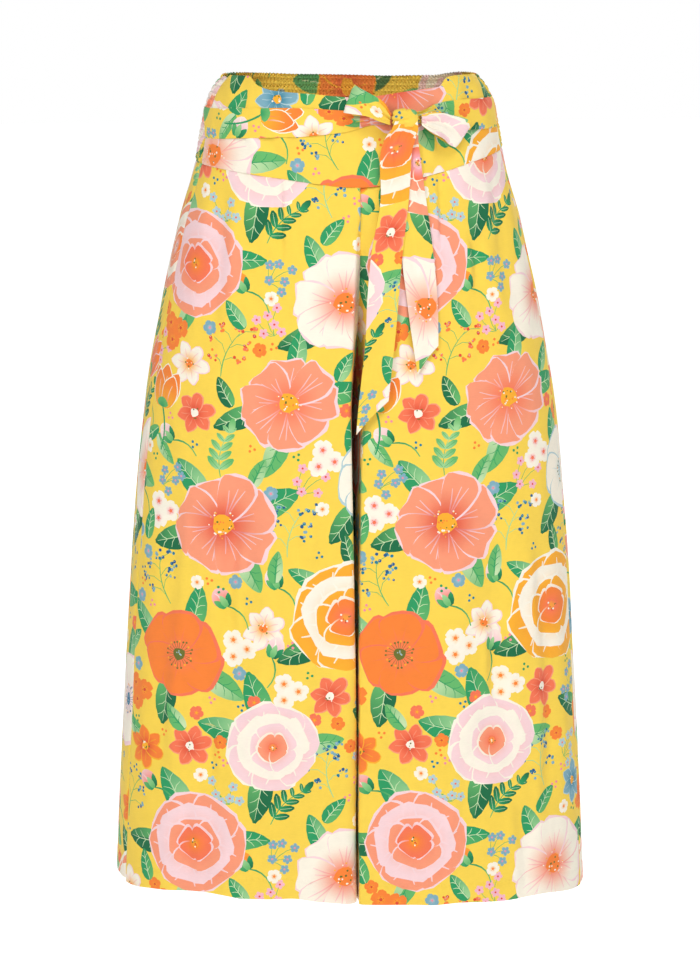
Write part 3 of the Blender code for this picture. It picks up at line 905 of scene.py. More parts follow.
# The large flowers of one repeat, in millimetres and degrees.
FLOWERS = rows_of(
    "make x y turn size colours",
    (garden_rose, 62, 72, 10, 1.05, "coral salmon orange blush"),
    (cosmos, 212, 38, 40, 1.05, "cream coral blush orange"),
    (anemone, 362, 88, 15, 1.05, "cream blush teal blue"),
    (garden_rose, 141, 172, 80, 0.90, "salmon blush coral cream"),
    (cosmos, 291, 186, 5, 0.97, "orange red amber amber"),
    (tulip, 426, 214, 20, 1.00, "orange salmon blush green"),
    (anemone, 47, 262, 60, 0.97, "orange coral olive olive"),
    (garden_rose, 213, 300, 30, 1.13, "orange amber coral cream"),
    (cosmos, 366, 322, 70, 1.09, "cream salmon blush orange"),
    (cosmos, 92, 392, 20, 1.07, "salmon red blush amber"),
    (anemone, 244, 432, 35, 0.95, "cream pale_mist teal olive"),
    (garden_rose, 402, 456, 55, 1.05, "coral salmon pink cream"),
    (tulip, 318, 414, -35, 0.84, "coral orange blush green"),
    (cosmos, 158, 512, 0, 0.99, "salmon coral blush amber"),
    (garden_rose, 300, 538, 65, 0.86, "orange salmon blush cream"),
    (tulip, 22, 502, -10, 0.89, "amber orange cream green"),
)
LEAF_TONES = ("green mint", "deep_green leaf", "leaf pale_mint", "green leaf")
STAR_TONES = ("mist teal pale_mist amber", "cream amber blush orange")
STAR_TONES += ("orange red amber amber", "coral red salmon cream")
BERRY_TONES = ("leaf teal blue mist", "mint teal mist blue", "leaf orange coral red")
BERRY_TONES += ("mint teal blue mist", "leaf teal mist blue", "mint orange coral red")
BLOSSOM_TONES = ("orange amber red", "cream amber orange", "coral orange amber", "mist pale_mist rose")
# The small motifs between them: how many are tried, the room that each takes, and their colours in turn.
FILLERS = rows_of(
    "make count reach tones",
    (star, 12, 21, STAR_TONES),
    (berries, 10, 23, BERRY_TONES),
    (bellflower, 5, 25, ("mist pale_mist teal", "pale_mist cream mist")),
    (fern, 8, 22, ("mint leaf", "green deep_green")),
    (sprigs, 11, 15, ("mist rose", "pale_mist coral", "pink red")),
    (bud, 13, 14, ("coral blush", "orange amber", "pink cream")),
    (blossoms, 15, 14, ("cream amber orange", "orange amber red", "cream rose coral")),
    (small_leaf, 26, 12, LEAF_TONES),
    (blossom, 44, 7, BLOSSOM_TONES),
    (drops, 50, 4, ("teal", "orange", "rose", "green")),
)


def free_spot(rng, taken, reach, tries=90):
    """The roomiest of some places in the repeat, or None where even that one has no room."""
    spots = rng.uniform((0, 0), TILE, (tries, 2))
    held = np.array(taken)
    apart = np.abs(spots[:, None, :] - held[None, :, :2])
    room = (np.linalg.norm(np.minimum(apart, TILE - apart), axis=2) - held[:, 2]).min(axis=1)
    best = int(room.argmax())
    return tuple(spots[best]) if room[best] > reach * 0.8 else None


@functools.cache
def one_repeat():
    """All areas of one repeat of the print, from the undermost to the topmost."""
    rng = np.random.default_rng(11)
    taken, under, small, flowers = [], [], [], []
    for flower in FLOWERS:
        x, y, size, turn = flower["x"], flower["y"], flower["size"], math.radians(flower["turn"])
        flowers += moved(flower["make"](rng, *flower["colours"].split()), turn, x, y, size)
        sine, cosine = math.sin(turn), math.cos(turn)
        if flower["make"] is tulip:
            taken.append((x - 22 * sine * size, y + 22 * cosine * size, 24 * size))
            taken.append((x + 22 * sine * size, y - 26 * cosine * size, 14 * size))
            blade = leaf(46, 16, "green", "leaf", 0.25)
            under += moved(blade, turn + 2.4, x + 20 * sine, y - 20 * cosine, size)
            blade = leaf(40, 15, "leaf", "pale_mint", -0.2)
            under += moved(blade, turn - 2.5, x + 24 * sine, y - 26 * cosine, size)
            continue
        taken.append((x, y, 47 * size))
        for k, tones in enumerate(LEAF_TONES):
            angle = turn + k * 1.6 + rng.uniform(-0.3, 0.3)
            length, base = rng.uniform(40, 54), 30 * size
            width, bend = length * rng.uniform(0.42, 0.54), rng.uniform(-0.2, 0.2)
            blade = leaf(length, width, *tones.split(), bend, 0.035 * (k % 2))
            spot = (x - base * math.sin(angle), y + base * math.cos(angle))
            under += moved(blade, angle + rng.uniform(-0.35, 0.35), *spot)
            away = base + length * 0.68
            taken.append((x - away * math.sin(angle), y + away * math.cos(angle), 11))
    for filler in FILLERS:
        for k in range(filler["count"]):
            spot = free_spot(rng, taken, filler["reach"])
            if spot is None:
                continue
            taken.append((*spot, filler["reach"]))
            tones = filler["tones"][k % len(filler["tones"])].split()
            motif = filler["make"](rng, *tones)
            small += moved(motif, rng.uniform(-0.9, 0.9), *spot)
    return under + small + flowers


# ---- cutting the print into the cloth ----

# An edge of the print is halved where the cloth bends away from it, unless it is short.
BEND_ALLOWED, SHORTEST_EDGE = 0.14, 1.2
# Points nearer to each other than this become one; the wrong side tries the smaller ones too.
MERGE_DISTANCES = (0.08, 0.03, 0.01, 0.003)
# The wrong side's mesh is this much coarser. At the rim, both sides' points agree within a distance.
WRONG_SIDE_SPACING, SAME_POINT = 1.45, 0.01


def inside(points, outline):
    """Which points lie within a closed outline."""
    order = np.argsort(points[:, 1])
    x, y = points[order].T
    odd = np.zeros(len(x), bool)
    for (ax, ay), (bx, by) in zip(outline, np.roll(outline, -1, axis=0)):
        if ay == by:
            continue
        first, last = np.searchsorted(y, sorted((ay, by)))
        odd[first:last] ^= x[first:last] < ax + (y[first:last] - ay) * (bx - ax) / (by - ay)
    found = np.empty_like(odd)
    found[order] = odd
    return found


def cover(points, outlines):
    """The number of the topmost outline over each point, or -1."""
    order = np.argsort(points[:, 1])
    x, y = points[order].T
    over = np.full(len(x), -1)
    for number, outline in enumerate(outlines):
        (left, low), (right, high) = outline.min(axis=0), outline.max(axis=0)
        first, last = np.searchsorted(y, (low, high))
        near = first + np.flatnonzero((x[first:last] > left) & (x[first:last] < right))
        if not len(near):
            continue
        px, py = x[near, None], y[near, None]
        ax, ay = outline.T
        bx, by = np.roll(outline, -1, axis=0).T
        rise = np.where(ay == by, 1, by - ay)
        crossed = ((ay > py) != (by > py)) & (px < ax + (py - ay) * (bx - ax) / rise)
        over[near[crossed.sum(axis=1) % 2 == 1]] = number
    found = np.empty_like(over)
    found[order] = over
    return found


def linear(colour):
    """A colour from the way it is picked to the way light adds up."""
    colour = np.asarray(colour, float)
    return np.where(colour <= 0.04045, colour / 12.92, ((colour + 0.055) / 1.055) ** 2.4)


class PlacedPrint:
    """The repeat's areas that reach a piece, in that piece's own s and t.

    Origin is the print's place at s = t = 0, turn its angle on the cloth in degrees, and gather how much
    cloth is gathered into each millimetre of s. Areas smaller than least are left out.
    """

    def __init__(self, paints, outline, origin, turn=0.0, gather=1.0, least=0.0):
        angle = math.radians(turn)
        self.matrix = np.array([[math.cos(angle), math.sin(angle)], [-math.sin(angle), math.cos(angle)]])
        self.gather, self.origin = np.array([gather, 1.0]), np.array(origin, float)
        (left, low), (right, high) = outline.min(axis=0) - 2, outline.max(axis=0) + 2
        corners = self.to_print(np.array([(a, b) for a in (left, right) for b in (low, high)]))
        first, last = corners.min(axis=0), corners.max(axis=0)
        start, stop = np.floor(first / TILE).astype(int) - 1, np.ceil(last / TILE).astype(int) + 1
        shifts = [(i, j) * TILE for i in range(start[0], stop[0]) for j in range(start[1], stop[1])]
        placed = []
        for area in one_repeat():
            low, high = area.outline.min(axis=0), area.outline.max(axis=0)
            if (high - low).max() >= least:
                near = (s for s in shifts if (high + s >= first).all() and (low + s <= last).all())
                placed += [(area, shift) for shift in near]
        self.outlines = [self.to_cloth(area.outline + shift) for area, shift in placed]
        placed.append((paint(None, "ground"), 0))
        self.near, self.far = (
            np.array([paints[getattr(area, key)] for area, _ in placed]) for key in ("near", "far")
        )
        self.centre = np.array([np.array(area.centre) + shift for area, shift in placed])
        self.reach = np.array([area.reach for area, _ in placed])

    def to_print(self, points):
        return (points * self.gather) @ self.matrix + self.origin

    def to_cloth(self, points):
        return (points - self.origin) @ self.matrix.T / self.gather

    def colours(self, points, number):
        """The linear colour at each point, given the area that is seen there."""
        away = np.linalg.norm(self.to_print(points) - self.centre[number], axis=1)
        share = ease(away / self.reach[number])[:, None]
        return self.near[number] * (1 - share) + self.far[number] * share

    def dyed(self, points, faces):
        """The linear colour of each triangle's three corners."""
        seen = cover(points[faces].mean(axis=1), self.outlines)
        return np.stack([self.colours(points[corner], seen) for corner in faces.T], axis=1)

    def seen_edges(self, lay):
        """The outlines' points and those of their edges that no later area hides, bent with the cloth."""
        points = np.concatenate(self.outlines)
        sizes = np.array([len(outline) for outline in self.outlines])
        own, number = np.repeat(np.arange(len(sizes)), sizes), np.arange(len(points))
        ahead, ends = number + 1, np.cumsum(sizes)
        ahead[ends - 1] = ends - sizes
        over = cover(np.concatenate([points, (points + points[ahead]) / 2]), self.outlines)
        at_point, at_middle = np.split(over, 2)
        hidden = (at_point > own) & (at_middle > own) & (at_point[ahead] > own)
        return bent_edges(points, pairs(number, ahead)[~hidden], lay)


def pairs(first, second):
    return np.stack([first, second], axis=1)


def bent_edges(points, edges, lay):
    """The points and the edges, with each edge halved where the cloth between its ends isn't straight."""
    done = []
    for _ in range(4):
        start, end = points[edges.T]
        middle = (start + end) / 2
        cut = np.linalg.norm(end - start, axis=1) > SHORTEST_EDGE
        at_start, at_end, halfway = (lay.surface(*spots[cut].T) for spots in (start, end, middle))
        cut[cut] = np.linalg.norm((at_start + at_end) / 2 - halfway, axis=1) > BEND_ALLOWED
        done.append(edges[~cut])
        number = len(points) + np.arange(cut.sum())
        points = np.concatenate([points, middle[cut]])
        edges = np.concatenate([pairs(edges[cut, 0], number), pairs(number, edges[cut, 1])])
    return points, np.concatenate([*done, edges])


def even_spots(outline, spacing):
    """A grid of points inside an outline, clear of its edge, in staggered rows."""
    low, high = outline.min(axis=0), outline.max(axis=0)
    spots = []
    for number, t in enumerate(np.arange(low[1] + spacing * 0.4, high[1], spacing * 0.87)):
        s = np.arange(low[0] + spacing * (0.25 + 0.5 * (number % 2)), high[0], spacing)
        spots.append(pairs(s, np.full(len(s), t)))
    spots = np.concatenate(spots)
    spots = spots[inside(spots, outline)]
    return spots[clear_of(spots, outline, spacing * 0.6)]


def clear_of(spots, outline, least):
    """Which spots are at least that far from the outline's edge."""
    keep = np.ones(len(spots), bool)
    for a, b in zip(outline, np.roll(outline, -1, axis=0)):
        close = (spots > np.minimum(a, b) - least) & (spots < np.maximum(a, b) + least)
        near = np.flatnonzero(close[:, 0] & close[:, 1])
        run, away = b - a, spots[near] - a
        share = np.clip(away @ run / max(run @ run, 1e-9), 0, 1)
        keep[near] &= np.linalg.norm(away - share[:, None] * run, axis=1) >= least
    return keep


def only_used(points, rows):
    """The points that the rows of numbers use, and the rows with their new numbers."""
    used = np.unique(rows)
    number = np.zeros(len(points), int)
    number[used] = np.arange(len(used))
    return points[used], number[rows]


def triangles_in(outline, spots, motif_points, motif_edges, merge):
    """A triangulation of the outline with the spots and edges in it: its points and triangles."""
    count = len(outline)
    motif_points, motif_edges = only_used(motif_points, motif_edges)
    points = np.concatenate([outline, spots, motif_points])
    rim = pairs(np.arange(count), np.roll(np.arange(count), -1))
    edges = np.concatenate([rim, motif_edges + count + len(spots)])
    found = delaunay_2d_cdt([Vector(p) for p in points.tolist()], edges.tolist(), [], 0, merge, False)
    points, faces = np.array([tuple(p) for p in found[0]]), np.array(found[2])
    a, b, c = (points[corner] for corner in faces.T)
    size = (b[:, 0] - a[:, 0]) * (c[:, 1] - a[:, 1]) - (b[:, 1] - a[:, 1]) * (c[:, 0] - a[:, 0])
    faces = np.where((size < 0)[:, None], faces[:, ::-1], faces)
    return only_used(points, faces[inside((a + b + c) / 3, outline) & (np.abs(size) > 1e-9)])


def edge_loop(faces):
    """The point numbers round the one open edge of some triangles, in order."""
    edges = np.concatenate([faces[:, [0, 1]], faces[:, [1, 2]], faces[:, [2, 0]]])
    ends = np.sort(edges, axis=1)
    key = ends[:, 0] * (faces.max() + 1) + ends[:, 1]
    _, first, uses = np.unique(key, return_index=True, return_counts=True)
    edges = edges[first[uses == 1]]
    onward, loop = dict(edges.tolist()), [int(edges[0, 0])]
    while onward[loop[-1]] != loop[0]:
        loop.append(onward[loop[-1]])
    return np.array(loop)


def shell(lay, sides, loops, halves):
    """Both sides of a piece and the rim between them: points, triangles, normals, flat points and finish.

    Halves give how far each side lies from the cloth's middle, as functions of s and t.
    """
    (points, faces), (back_points, back_faces) = sides
    outer, outer_normal = lay.place(*points.T, halves[0](*points.T))
    inner, inner_normal = lay.place(*back_points.T, -halves[1](*back_points.T))
    here, behind = loops[0], loops[1] + len(points)
    there, ahead = np.roll(here, -1), np.roll(behind, -1)
    wall = np.concatenate([np.stack([there, here, behind], 1), np.stack([there, behind, ahead], 1)])
    all_faces = np.concatenate([faces, back_faces[:, ::-1] + len(points), wall])
    finish = np.repeat([0, 1, 0], [len(faces), len(back_faces), len(wall)])
    normals = np.concatenate([outer_normal, -inner_normal])
    flat_points = np.concatenate([points, back_points])
    return np.concatenate([outer, inner]), all_faces, normals, flat_points, finish


def cut_piece(name, lay, outline, prints, halves, spacing, ribs=()):
    """A piece of cloth with both its sides and its rim, the print cut into it.

    The first print is the right side's, and the second, simpler one shows on the wrong side.
    """
    placed, plain = prints
    ribs = np.concatenate([np.zeros((0, 2)), *ribs])
    ribs = ribs[inside(ribs, outline) & clear_of(ribs, outline, 0.5)]
    spots = np.concatenate([even_spots(outline, spacing), ribs])
    points, faces = triangles_in(outline, spots, *placed.seen_edges(lay), MERGE_DISTANCES[0])
    loop = edge_loop(faces)
    rim = points[loop]
    spots = np.concatenate([even_spots(rim, spacing * WRONG_SIDE_SPACING), ribs])
    spots = spots[clear_of(spots, rim, 1.2)]
    motif_points, motif_edges = plain.seen_edges(lay)
    free = inside(motif_points, rim) & clear_of(motif_points, rim, 2.0)
    motif_edges = motif_edges[free[motif_edges].all(axis=1)]
    for merge in MERGE_DISTANCES:
        back_points, back_faces = triangles_in(rim, spots, motif_points, motif_edges, merge)
        back_loop = edge_loop(back_faces)
        start = int(np.linalg.norm(back_points[back_loop] - rim[0], axis=1).argmin())
        back_loop = np.roll(back_loop, -start)
        if len(back_loop) == len(loop) and np.abs(back_points[back_loop] - rim).max() < SAME_POINT:
            break
    else:
        raise RuntimeError(f"{name}: the two sides of the cloth don't share their edge")
    made = shell(lay, ((points, faces), (back_points, back_faces)), (loop, back_loop), halves)
    wall = np.broadcast_to(placed.near[-1], (2 * len(loop), 3, 3))
    back_colours = plain.dyed(back_points, back_faces)[:, ::-1]
    return cloth_object(name, *made, np.concatenate([placed.dyed(points, faces), back_colours, wall]))


def cloth_object(name, points, faces, normals, flat_points, finish, colours):
    """The mesh and object of a piece, with its print colours, its cloth coordinates and its normals."""
    mesh = bpy.data.meshes.new(name)
    mesh.vertices.add(len(points))
    mesh.vertices.foreach_set("co", (points * MM).astype(np.float32).ravel())
    mesh.loops.add(len(faces) * 3)
    mesh.loops.foreach_set("vertex_index", faces.astype(np.int32).ravel())
    mesh.polygons.add(len(faces))
    mesh.polygons.foreach_set("loop_start", np.arange(0, len(faces) * 3, 3, dtype=np.int32))
    mesh.update(calc_edges=True)
    mesh.validate()
    if len(mesh.polygons) != len(faces):
        raise RuntimeError(f"{name}: {len(faces) - len(mesh.polygons)} faces of the cloth aren't sound")
    mesh.polygons.foreach_set("material_index", finish.astype(np.int32))
    flat = mesh.uv_layers.new(name="cloth")
    flat.data.foreach_set("uv", (flat_points[faces] * MM).astype(np.float32).ravel())
    dye = mesh.color_attributes.new("print", "FLOAT_COLOR", "CORNER")
    rgba = np.concatenate([colours, np.ones((*colours.shape[:2], 1))], axis=2)
    dye.data.foreach_set("color", rgba.astype(np.float32).ravel())
    mesh.shade_smooth()
    mesh.normals_split_custom_set_from_vertices(normals.tolist())
    return put(bpy.data.objects.new(name + "_cloth", mesh))


# ---- creases, seams and stitching ----

# Painted shade: how much darker the print is made in the depths of the band's gathers.
GATHER_SHADE = 0.26
# Areas of the print smaller than this don't show on the wrong side.
LEAST_SHOWN = 13.0
# The height from which the search for a waist seam starts.
SEAM_GUESS = -88.0
# Size and wavelength of the legs' unevenness.
BROAD_RIPPLE, FINE_RIPPLE = (0.34, 52), (0.07, 13)
# The yoke's mesh is this much finer than a leg's.
YOKE_SPACING = 0.85

# Creases, each from its top to its low end: x-like place across, height, half width and depth.
FRONT_CREASES = (
    (79.5, -78, 78, -168, 3.4, 1.5, 0.8),
    (-75, -80, -77, -182, 3.4, 1.4, -0.8),
    (112, -143, 118, -208, 5, 2.0, 1.5),
    (-124, -425, -132, -548, 6, 2.0, 2),
    (-147, -610, -153, -702, 6, 1.6, 2),
    (52, -606, 50, -696, 5, 1.6, -1.5),
    (133, -495, 141, -630, 7, 2.0, 2),
    (-40, -80, -36, -152, 5, 0.8, 1),
    (38, -78, 36, -146, 5, 0.8, -1),
    (-128, -78, -152, -270, 9, 1.4, 3),
    (136, -72, 162, -250, 9, 1.4, -3),
    (-60, -300, -68, -530, 10, 1.4, 4),
    (76, -250, 86, -440, 10, 1.2, -4),
    (-188, -370, -200, -710, 9, 1.8, 4),
    (184, -410, 202, -770, 9, 2.0, -4),
    (-32, -470, -36, -790, 9, 1.2, 3),
    (30, -520, 37, -812, 9, 1.4, -3),
    (101, -640, 106, -815, 10, 1.8, 3),
    (-100, -655, -108, -815, 10, 1.6, -3),
    (-172, -690, -178, -815, 8, 1.6, 2),
    (164, -700, 170, -815, 8, 1.6, -2),
    (62, -186, 30, -312, 8, 1.0, 2),
    (-58, -196, -24, -330, 8, 1.0, -2),
    (-96, -190, -104, -330, 8, 1.0, 3),
)
BACK_CREASES = (
    (-30, -110, -46, -330, 9, 1.6, 3),
    (28, -120, 44, -360, 9, 1.6, -3),
    (-88, -150, -98, -460, 10, 1.8, 4),
    (92, -160, 104, -480, 10, 1.8, -4),
    (-134, -130, -162, -420, 9, 1.6, -4),
    (132, -140, 160, -430, 9, 1.6, 4),
    (-70, -420, -76, -815, 11, 1.8, 4),
    (74, -400, 82, -815, 11, 1.8, -4),
    (-128, -480, -140, -815, 10, 1.8, 3),
    (134, -470, 146, -815, 10, 1.8, -3),
    (-36, -520, -38, -815, 9, 1.4, 3),
    (30, -540, 34, -815, 9, 1.4, -3),
    (-186, -420, -204, -780, 9, 2.0, 4),
    (188, -440, 206, -800, 9, 2.0, -4),
)
YOKE_CREASES = (
    (-118, 8, -112, -70, 6, 0.7, 2),
    (-92, -12, -78, -92, 7, 0.8, 2),
    (-60, -50, -40, -100, 7, 0.6, -1),
    (70, -8, 84, -84, 6, 0.7, 2),
    (112, 8, 120, -70, 7, 0.8, -2),
    (10, -44, 4, -102, 8, 0.5, 1),
)


def crease_relief(creases, across, t):
    """Soft uneven troughs, each with one steeper side and a low ridge beside it."""
    total = np.zeros(np.shape(across))
    for x_top, top, x_low, low, half, depth, wobble in creases:
        along = (top - t) / (top - low)
        fade = ease(along / 0.3) * ease((1 - along) / 0.35)
        fade = fade * (0.8 + 0.2 * np.sin(along * 9 + x_low))
        away = across - x_top - (x_low - x_top) * along - wobble * np.sin(along * 6 + x_top)
        away = np.where(away * (1 if x_top > 0 else -1) > 0, away * 0.75, away * 1.25) / half
        total = total + 1.9 * depth * fade * (0.4 * bump((np.abs(away) - 1.9) / 0.8) - bump(away))
    return total


def crease_ribs(creases, facing):
    """Mesh points along the narrow creases, so that the mesh can follow them."""
    ribs = []
    for x_top, top, x_low, low, half, _, wobble in creases:
        if half > 5:
            continue
        down = np.arange(low, top, 5.0)
        along = (top - down) / (top - low)
        middle = x_top + (x_low - x_top) * along + wobble * np.sin(along * 6 + x_top)
        ribs += [pairs(facing * (middle + share * half), down) for share in (-1.6, -0.8, 0.0, 0.8, 1.6)]
    return ribs


def gather_creases(count=30, middle_to_side=150, top=-78):
    """Short creases that fall from the gathered seam of the back band."""
    rng, spans = np.random.default_rng(5), ((45, 125), (2.6, 4.4), (0.9, 1.7), (-1, 1))
    creases = []
    for k in range(count):
        x = -middle_to_side + 2 * middle_to_side * (k + 0.5 + rng.uniform(-0.3, 0.3)) / count
        length, half, depth, wobble = (rng.uniform(*span) for span in spans)
        creases.append((x, top + 22, x * (1 + length / 900), top - length, half, depth, wobble))
    return tuple(creases)


def ripple(s, t, seed, size, wave):
    """Faint unevenness of worn cloth, longer up it than across."""
    rng = np.random.default_rng(seed)
    count, total = 9, np.zeros(np.shape(s))
    for _ in range(count):
        length, lean, phase = (rng.uniform(*most) for most in ((0.6, 1.7), (-1, 1), (0, 6.3)))
        across = 2 * math.pi / (wave * length) * (s + lean * t / 3.0)
        total = total + np.sin(across + phase + np.sin(t / (2.3 * wave) + phase))
    return total * size / math.sqrt(count)


def sewn(away):
    """The cloth dips into a seam, and runs on behind its neighbour past the seam (away below 0)."""
    return -0.9 * bump(np.maximum(away, 0) / 1.8) - 1.3 * ease(-away / 1.2)


def stepped(s, t, longest=4.0):
    """Points along a line, but for its last one, in steps no longer than that."""
    run = lengths(pairs(s, t))
    at = np.linspace(0, run[-1], max(2, math.ceil(run[-1] / longest) + 1))[:-1]
    return pairs(np.interp(at, run, s), np.interp(at, run, t))


def cut_out(left, right, low, high, counts=(200, 300), longest=4.0):
    """An outline from its side lines, as s and t going up, and its low and high edges, as t for s."""
    bottom = np.linspace(left[0][0], right[0][0], counts[0])
    top = np.linspace(right[0][-1], left[0][-1], counts[1])
    sides = stepped(bottom, low(bottom)), stepped(*right), stepped(top, high(top), longest)
    return np.concatenate([*sides, stepped(left[0][::-1], left[1][::-1])])


def beside(line_s, line_t, steps, way):
    """Mesh points beside a line that runs across the cloth, above it (way 1) or below (way -1)."""
    return [pairs(line_s + step, line_t(line_s + step) + way * step) for step in steps]


def settings():
    return bpy.context.scene.culottes_cloth


def print_paints(show=1.0):
    """The print's linear colours; on the wrong side less of them shows."""
    picked = bpy.context.scene.culottes_colours
    colours = {name: linear(getattr(picked, name)) for name in PAINT}
    pale = 0.5 * linear(picked.ground) + 0.5 * linear((0.98, 0.93, 0.72))
    return {name: colour * show + pale * (1 - show) for name, colour in colours.items()}


def both_prints(outline, origin, show, gather=1.0):
    """The print on the right side of a piece, and what shows of it on the wrong side."""
    full = PlacedPrint(print_paints(), outline, origin, gather=gather)
    return full, PlacedPrint(print_paints(show), outline, origin, gather=gather, least=LEAST_SHOWN)


def finish_piece(item, node, slot, flat, area, rests_on, held="hung"):
    """Gives a piece the finishes of its slot, hangs it from the root and hides its part of the frame."""
    for finish in FINISHES[slot]:
        item.data.materials.append(bpy.data.materials.get(finish[0]) or cloth_material(*finish))
    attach(item, "root")
    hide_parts(node)
    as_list(rests_on)


def cut_size(outline, gather=1.0):
    """A piece's flat size and area in metres, from its outline."""
    width, length = np.ptp(outline, axis=0) * MM
    x, y = outline.T
    area = abs((x * np.roll(y, -1) - y * np.roll(x, -1)).sum()) / 2
    return (float(width * gather), float(length)), float(area * MM * MM * gather)


def half_of(thickness):
    """The same half thickness everywhere on a side of a piece."""
    return lambda s, t: np.full(len(s), thickness / MM / 2)


def make_leg(name, wearer, side, origin, seed):
    """A leg panel, tucked under the yoke or band and, at the back, under the front panel."""
    cloth = settings()
    lay, heights, lines, way = leg_lay(wearer, side)
    front = side == FRONT
    creases = FRONT_CREASES if front else BACK_CREASES + gather_creases()

    top_s = np.arange(lay.s[0], lay.s[-1], 1.0)
    top_t = np.full(len(top_s), SEAM_GUESS)
    for _ in range(6):
        x = lay.base(top_s, top_t)[0][:, 0]
        top_t = smooth(YOKE_SEAM if front else BAND_SEAM, "height", x) - HALF_GAP
    low_x = lay.base(top_s, np.full(len(top_s), HEM_HEIGHT))[0][:, 0]
    rise = smooth(FRONT_HEM if front else BACK_HEM, "rise", low_x)

    def side_s(t):
        return np.interp(t, heights, lines[0])

    def inner_s(t):
        return np.interp(t, heights, lines[3])

    def top_edge(s, above=0.0):
        return np.interp(s, top_s, top_t + above)

    def hem_edge(s, height=HEM_HEIGHT):
        return np.interp(s, top_s, height + rise)

    hem = HEM_HEIGHT + cloth.hem_depth / MM

    def relief(s, t):
        past_side, past_inner = (s - side_s(t)) * way, (inner_s(t) - s) * way
        below_top, above_hem = top_edge(s) - t, t - hem - np.interp(s, top_s, rise)
        flat = ease(below_top / 12) * ease(past_inner / 12)
        total = crease_relief(creases, s * -side, t) * ease((below_top + 8) / 8) * ease(past_inner / 10)
        for number, kind in ((seed, BROAD_RIPPLE), (seed + 50, FINE_RIPPLE)):
            total = total + ripple(s, t, number, *kind) * flat
        total = total + sewn(below_top) + sewn(past_side)
        total = total - 0.4 * bump(above_hem / 0.8) + 0.25 * ease(-above_hem / 3)
        crotch = ease((t - CROTCH_HEIGHT) / 6)
        total = total + 0.45 * crotch * bump(past_inner / 3)
        return total if front else total - (1 - crotch) * 1.2 * ease(-past_inner / 1.5)

    lay.relief = relief
    allowance = cloth.seam_allowance / MM
    levels = np.arange(HEM_HEIGHT - 8, -40, 1.0)
    sides = []
    for line in (
        side_s(levels) - (0 if front else way * allowance),
        inner_s(levels) + (0 if front else way * 4.0 * ease((CROTCH_HEIGHT - 6 - levels) / 10)),
    ):
        first = np.flatnonzero(levels > hem_edge(line))[0]
        last = np.flatnonzero(levels > top_edge(line, allowance))[0]
        line, middle = line[[first, *range(first + 1, last - 1), last]], levels[first + 1 : last - 1]
        low, high = hem_edge(line[0]), top_edge(line[-1], allowance)
        sides.append((line, np.concatenate([[low], middle, [high]])))
    outline = cut_out(*sides[::way], hem_edge, lambda s: top_edge(s, allowance))

    ribs = []
    for number, where in enumerate((1, 1.2, 1.4, 1.6, 1.8, 2)):
        spots = np.arange(HEM_HEIGHT + 2, -88, 7.0) + 3.5 * (number % 2)
        ribs.append(pairs(np.interp(spots, heights, lines[where]), spots))
    across = np.arange(lay.s[0], lay.s[-1], 4.0)
    beside_seam = (-0.9, 0.9, 2.2, 4.2)
    ribs += beside(across, top_edge, beside_seam, -1)
    ribs += beside(across, lambda s: hem_edge(s, hem), (-1.4, -0.3, 0.8, 2.4), 1)
    down = np.arange(HEM_HEIGHT + 2, -80, 5.0)
    ribs += [pairs(side_s(down) + way * step, down) for step in beside_seam]
    ribs += crease_ribs(creases, -side)

    half = cloth.thickness / MM / 2

    def half_with_turn_up(s, t):
        return half + 2 * half * ease((hem_edge(s, hem) - t) / 0.7 + 0.5)

    prints = both_prints(outline, origin, cloth.show_through)
    halves = half_of(cloth.thickness), half_with_turn_up
    item = cut_piece(name, lay, outline, prints, halves, cloth.mesh_spacing / MM, ribs)
    waistband = ["yoke_front" if front else "band_back"]
    finish_piece(item, name, "printed_cotton", *cut_size(outline), waistband)


def waist_edges(lay, top, seam):
    """Where a waistband's top edge and its seam to the legs lie, as t for each s."""
    s = np.arange(-250.0, 250.5, 1.0)
    top_t, low_t = np.zeros(len(s)), np.full(len(s), SEAM_GUESS)
    for _ in range(5):
        top_t = smooth(top, "height", lay.base(s, top_t)[0][:, 0])
        low_t = smooth(seam, "height", lay.base(s, low_t)[0][:, 0]) + HALF_GAP
    return lambda at: np.interp(at, s, top_t), lambda at: np.interp(at, s, low_t)


def make_yoke():
    """The shaped front yoke, from side seam to side seam."""
    cloth = settings()
    lay, heights, seam = waist_lay(FRONT)
    top_edge, low_edge = waist_edges(lay, YOKE_TOP, YOKE_SEAM)

    def relief(s, t):
        below, above = top_edge(s) - t, t - low_edge(s)
        aside = np.interp(t, heights, seam) - np.abs(s)
        total = crease_relief(YOKE_CREASES, s, t) + ripple(s, t, 31, 0.2, 40) * ease(below / 6)
        return total - 0.7 * bump(below / 1.3) - 0.9 * bump(above / 1.8) - 0.9 * bump(aside / 1.8)

    lay.relief = relief
    levels = np.arange(-110.0, 8.0, 0.5)
    sides = []
    for way in (-1, 1):
        edge = way * np.interp(levels, heights, seam)
        inner = (levels > low_edge(edge)) & (levels < top_edge(edge))
        sides.append((edge[inner], levels[inner]))
    outline = cut_out(*sides, low_edge, top_edge, (400, 800), 2.5)
    ribs = []
    across = np.arange(-230.0, 230.0, 3.5)
    for step in (0.8, 1.8, 3.4):
        ribs += beside(across, low_edge, [step], 1) + beside(across, top_edge, [step], -1)
    prints = both_prints(outline, (57.0, 392.0), cloth.show_through)
    halves = [half_of(cloth.facing_thickness)] * 2
    spacing = cloth.mesh_spacing / MM * YOKE_SPACING
    item = cut_piece("yoke_front", lay, outline, prints, halves, spacing, ribs)
    legs = ["leg_front_right", "leg_front_left"]
    finish_piece(item, "yoke_front", "printed_cotton", *cut_size(outline), legs)


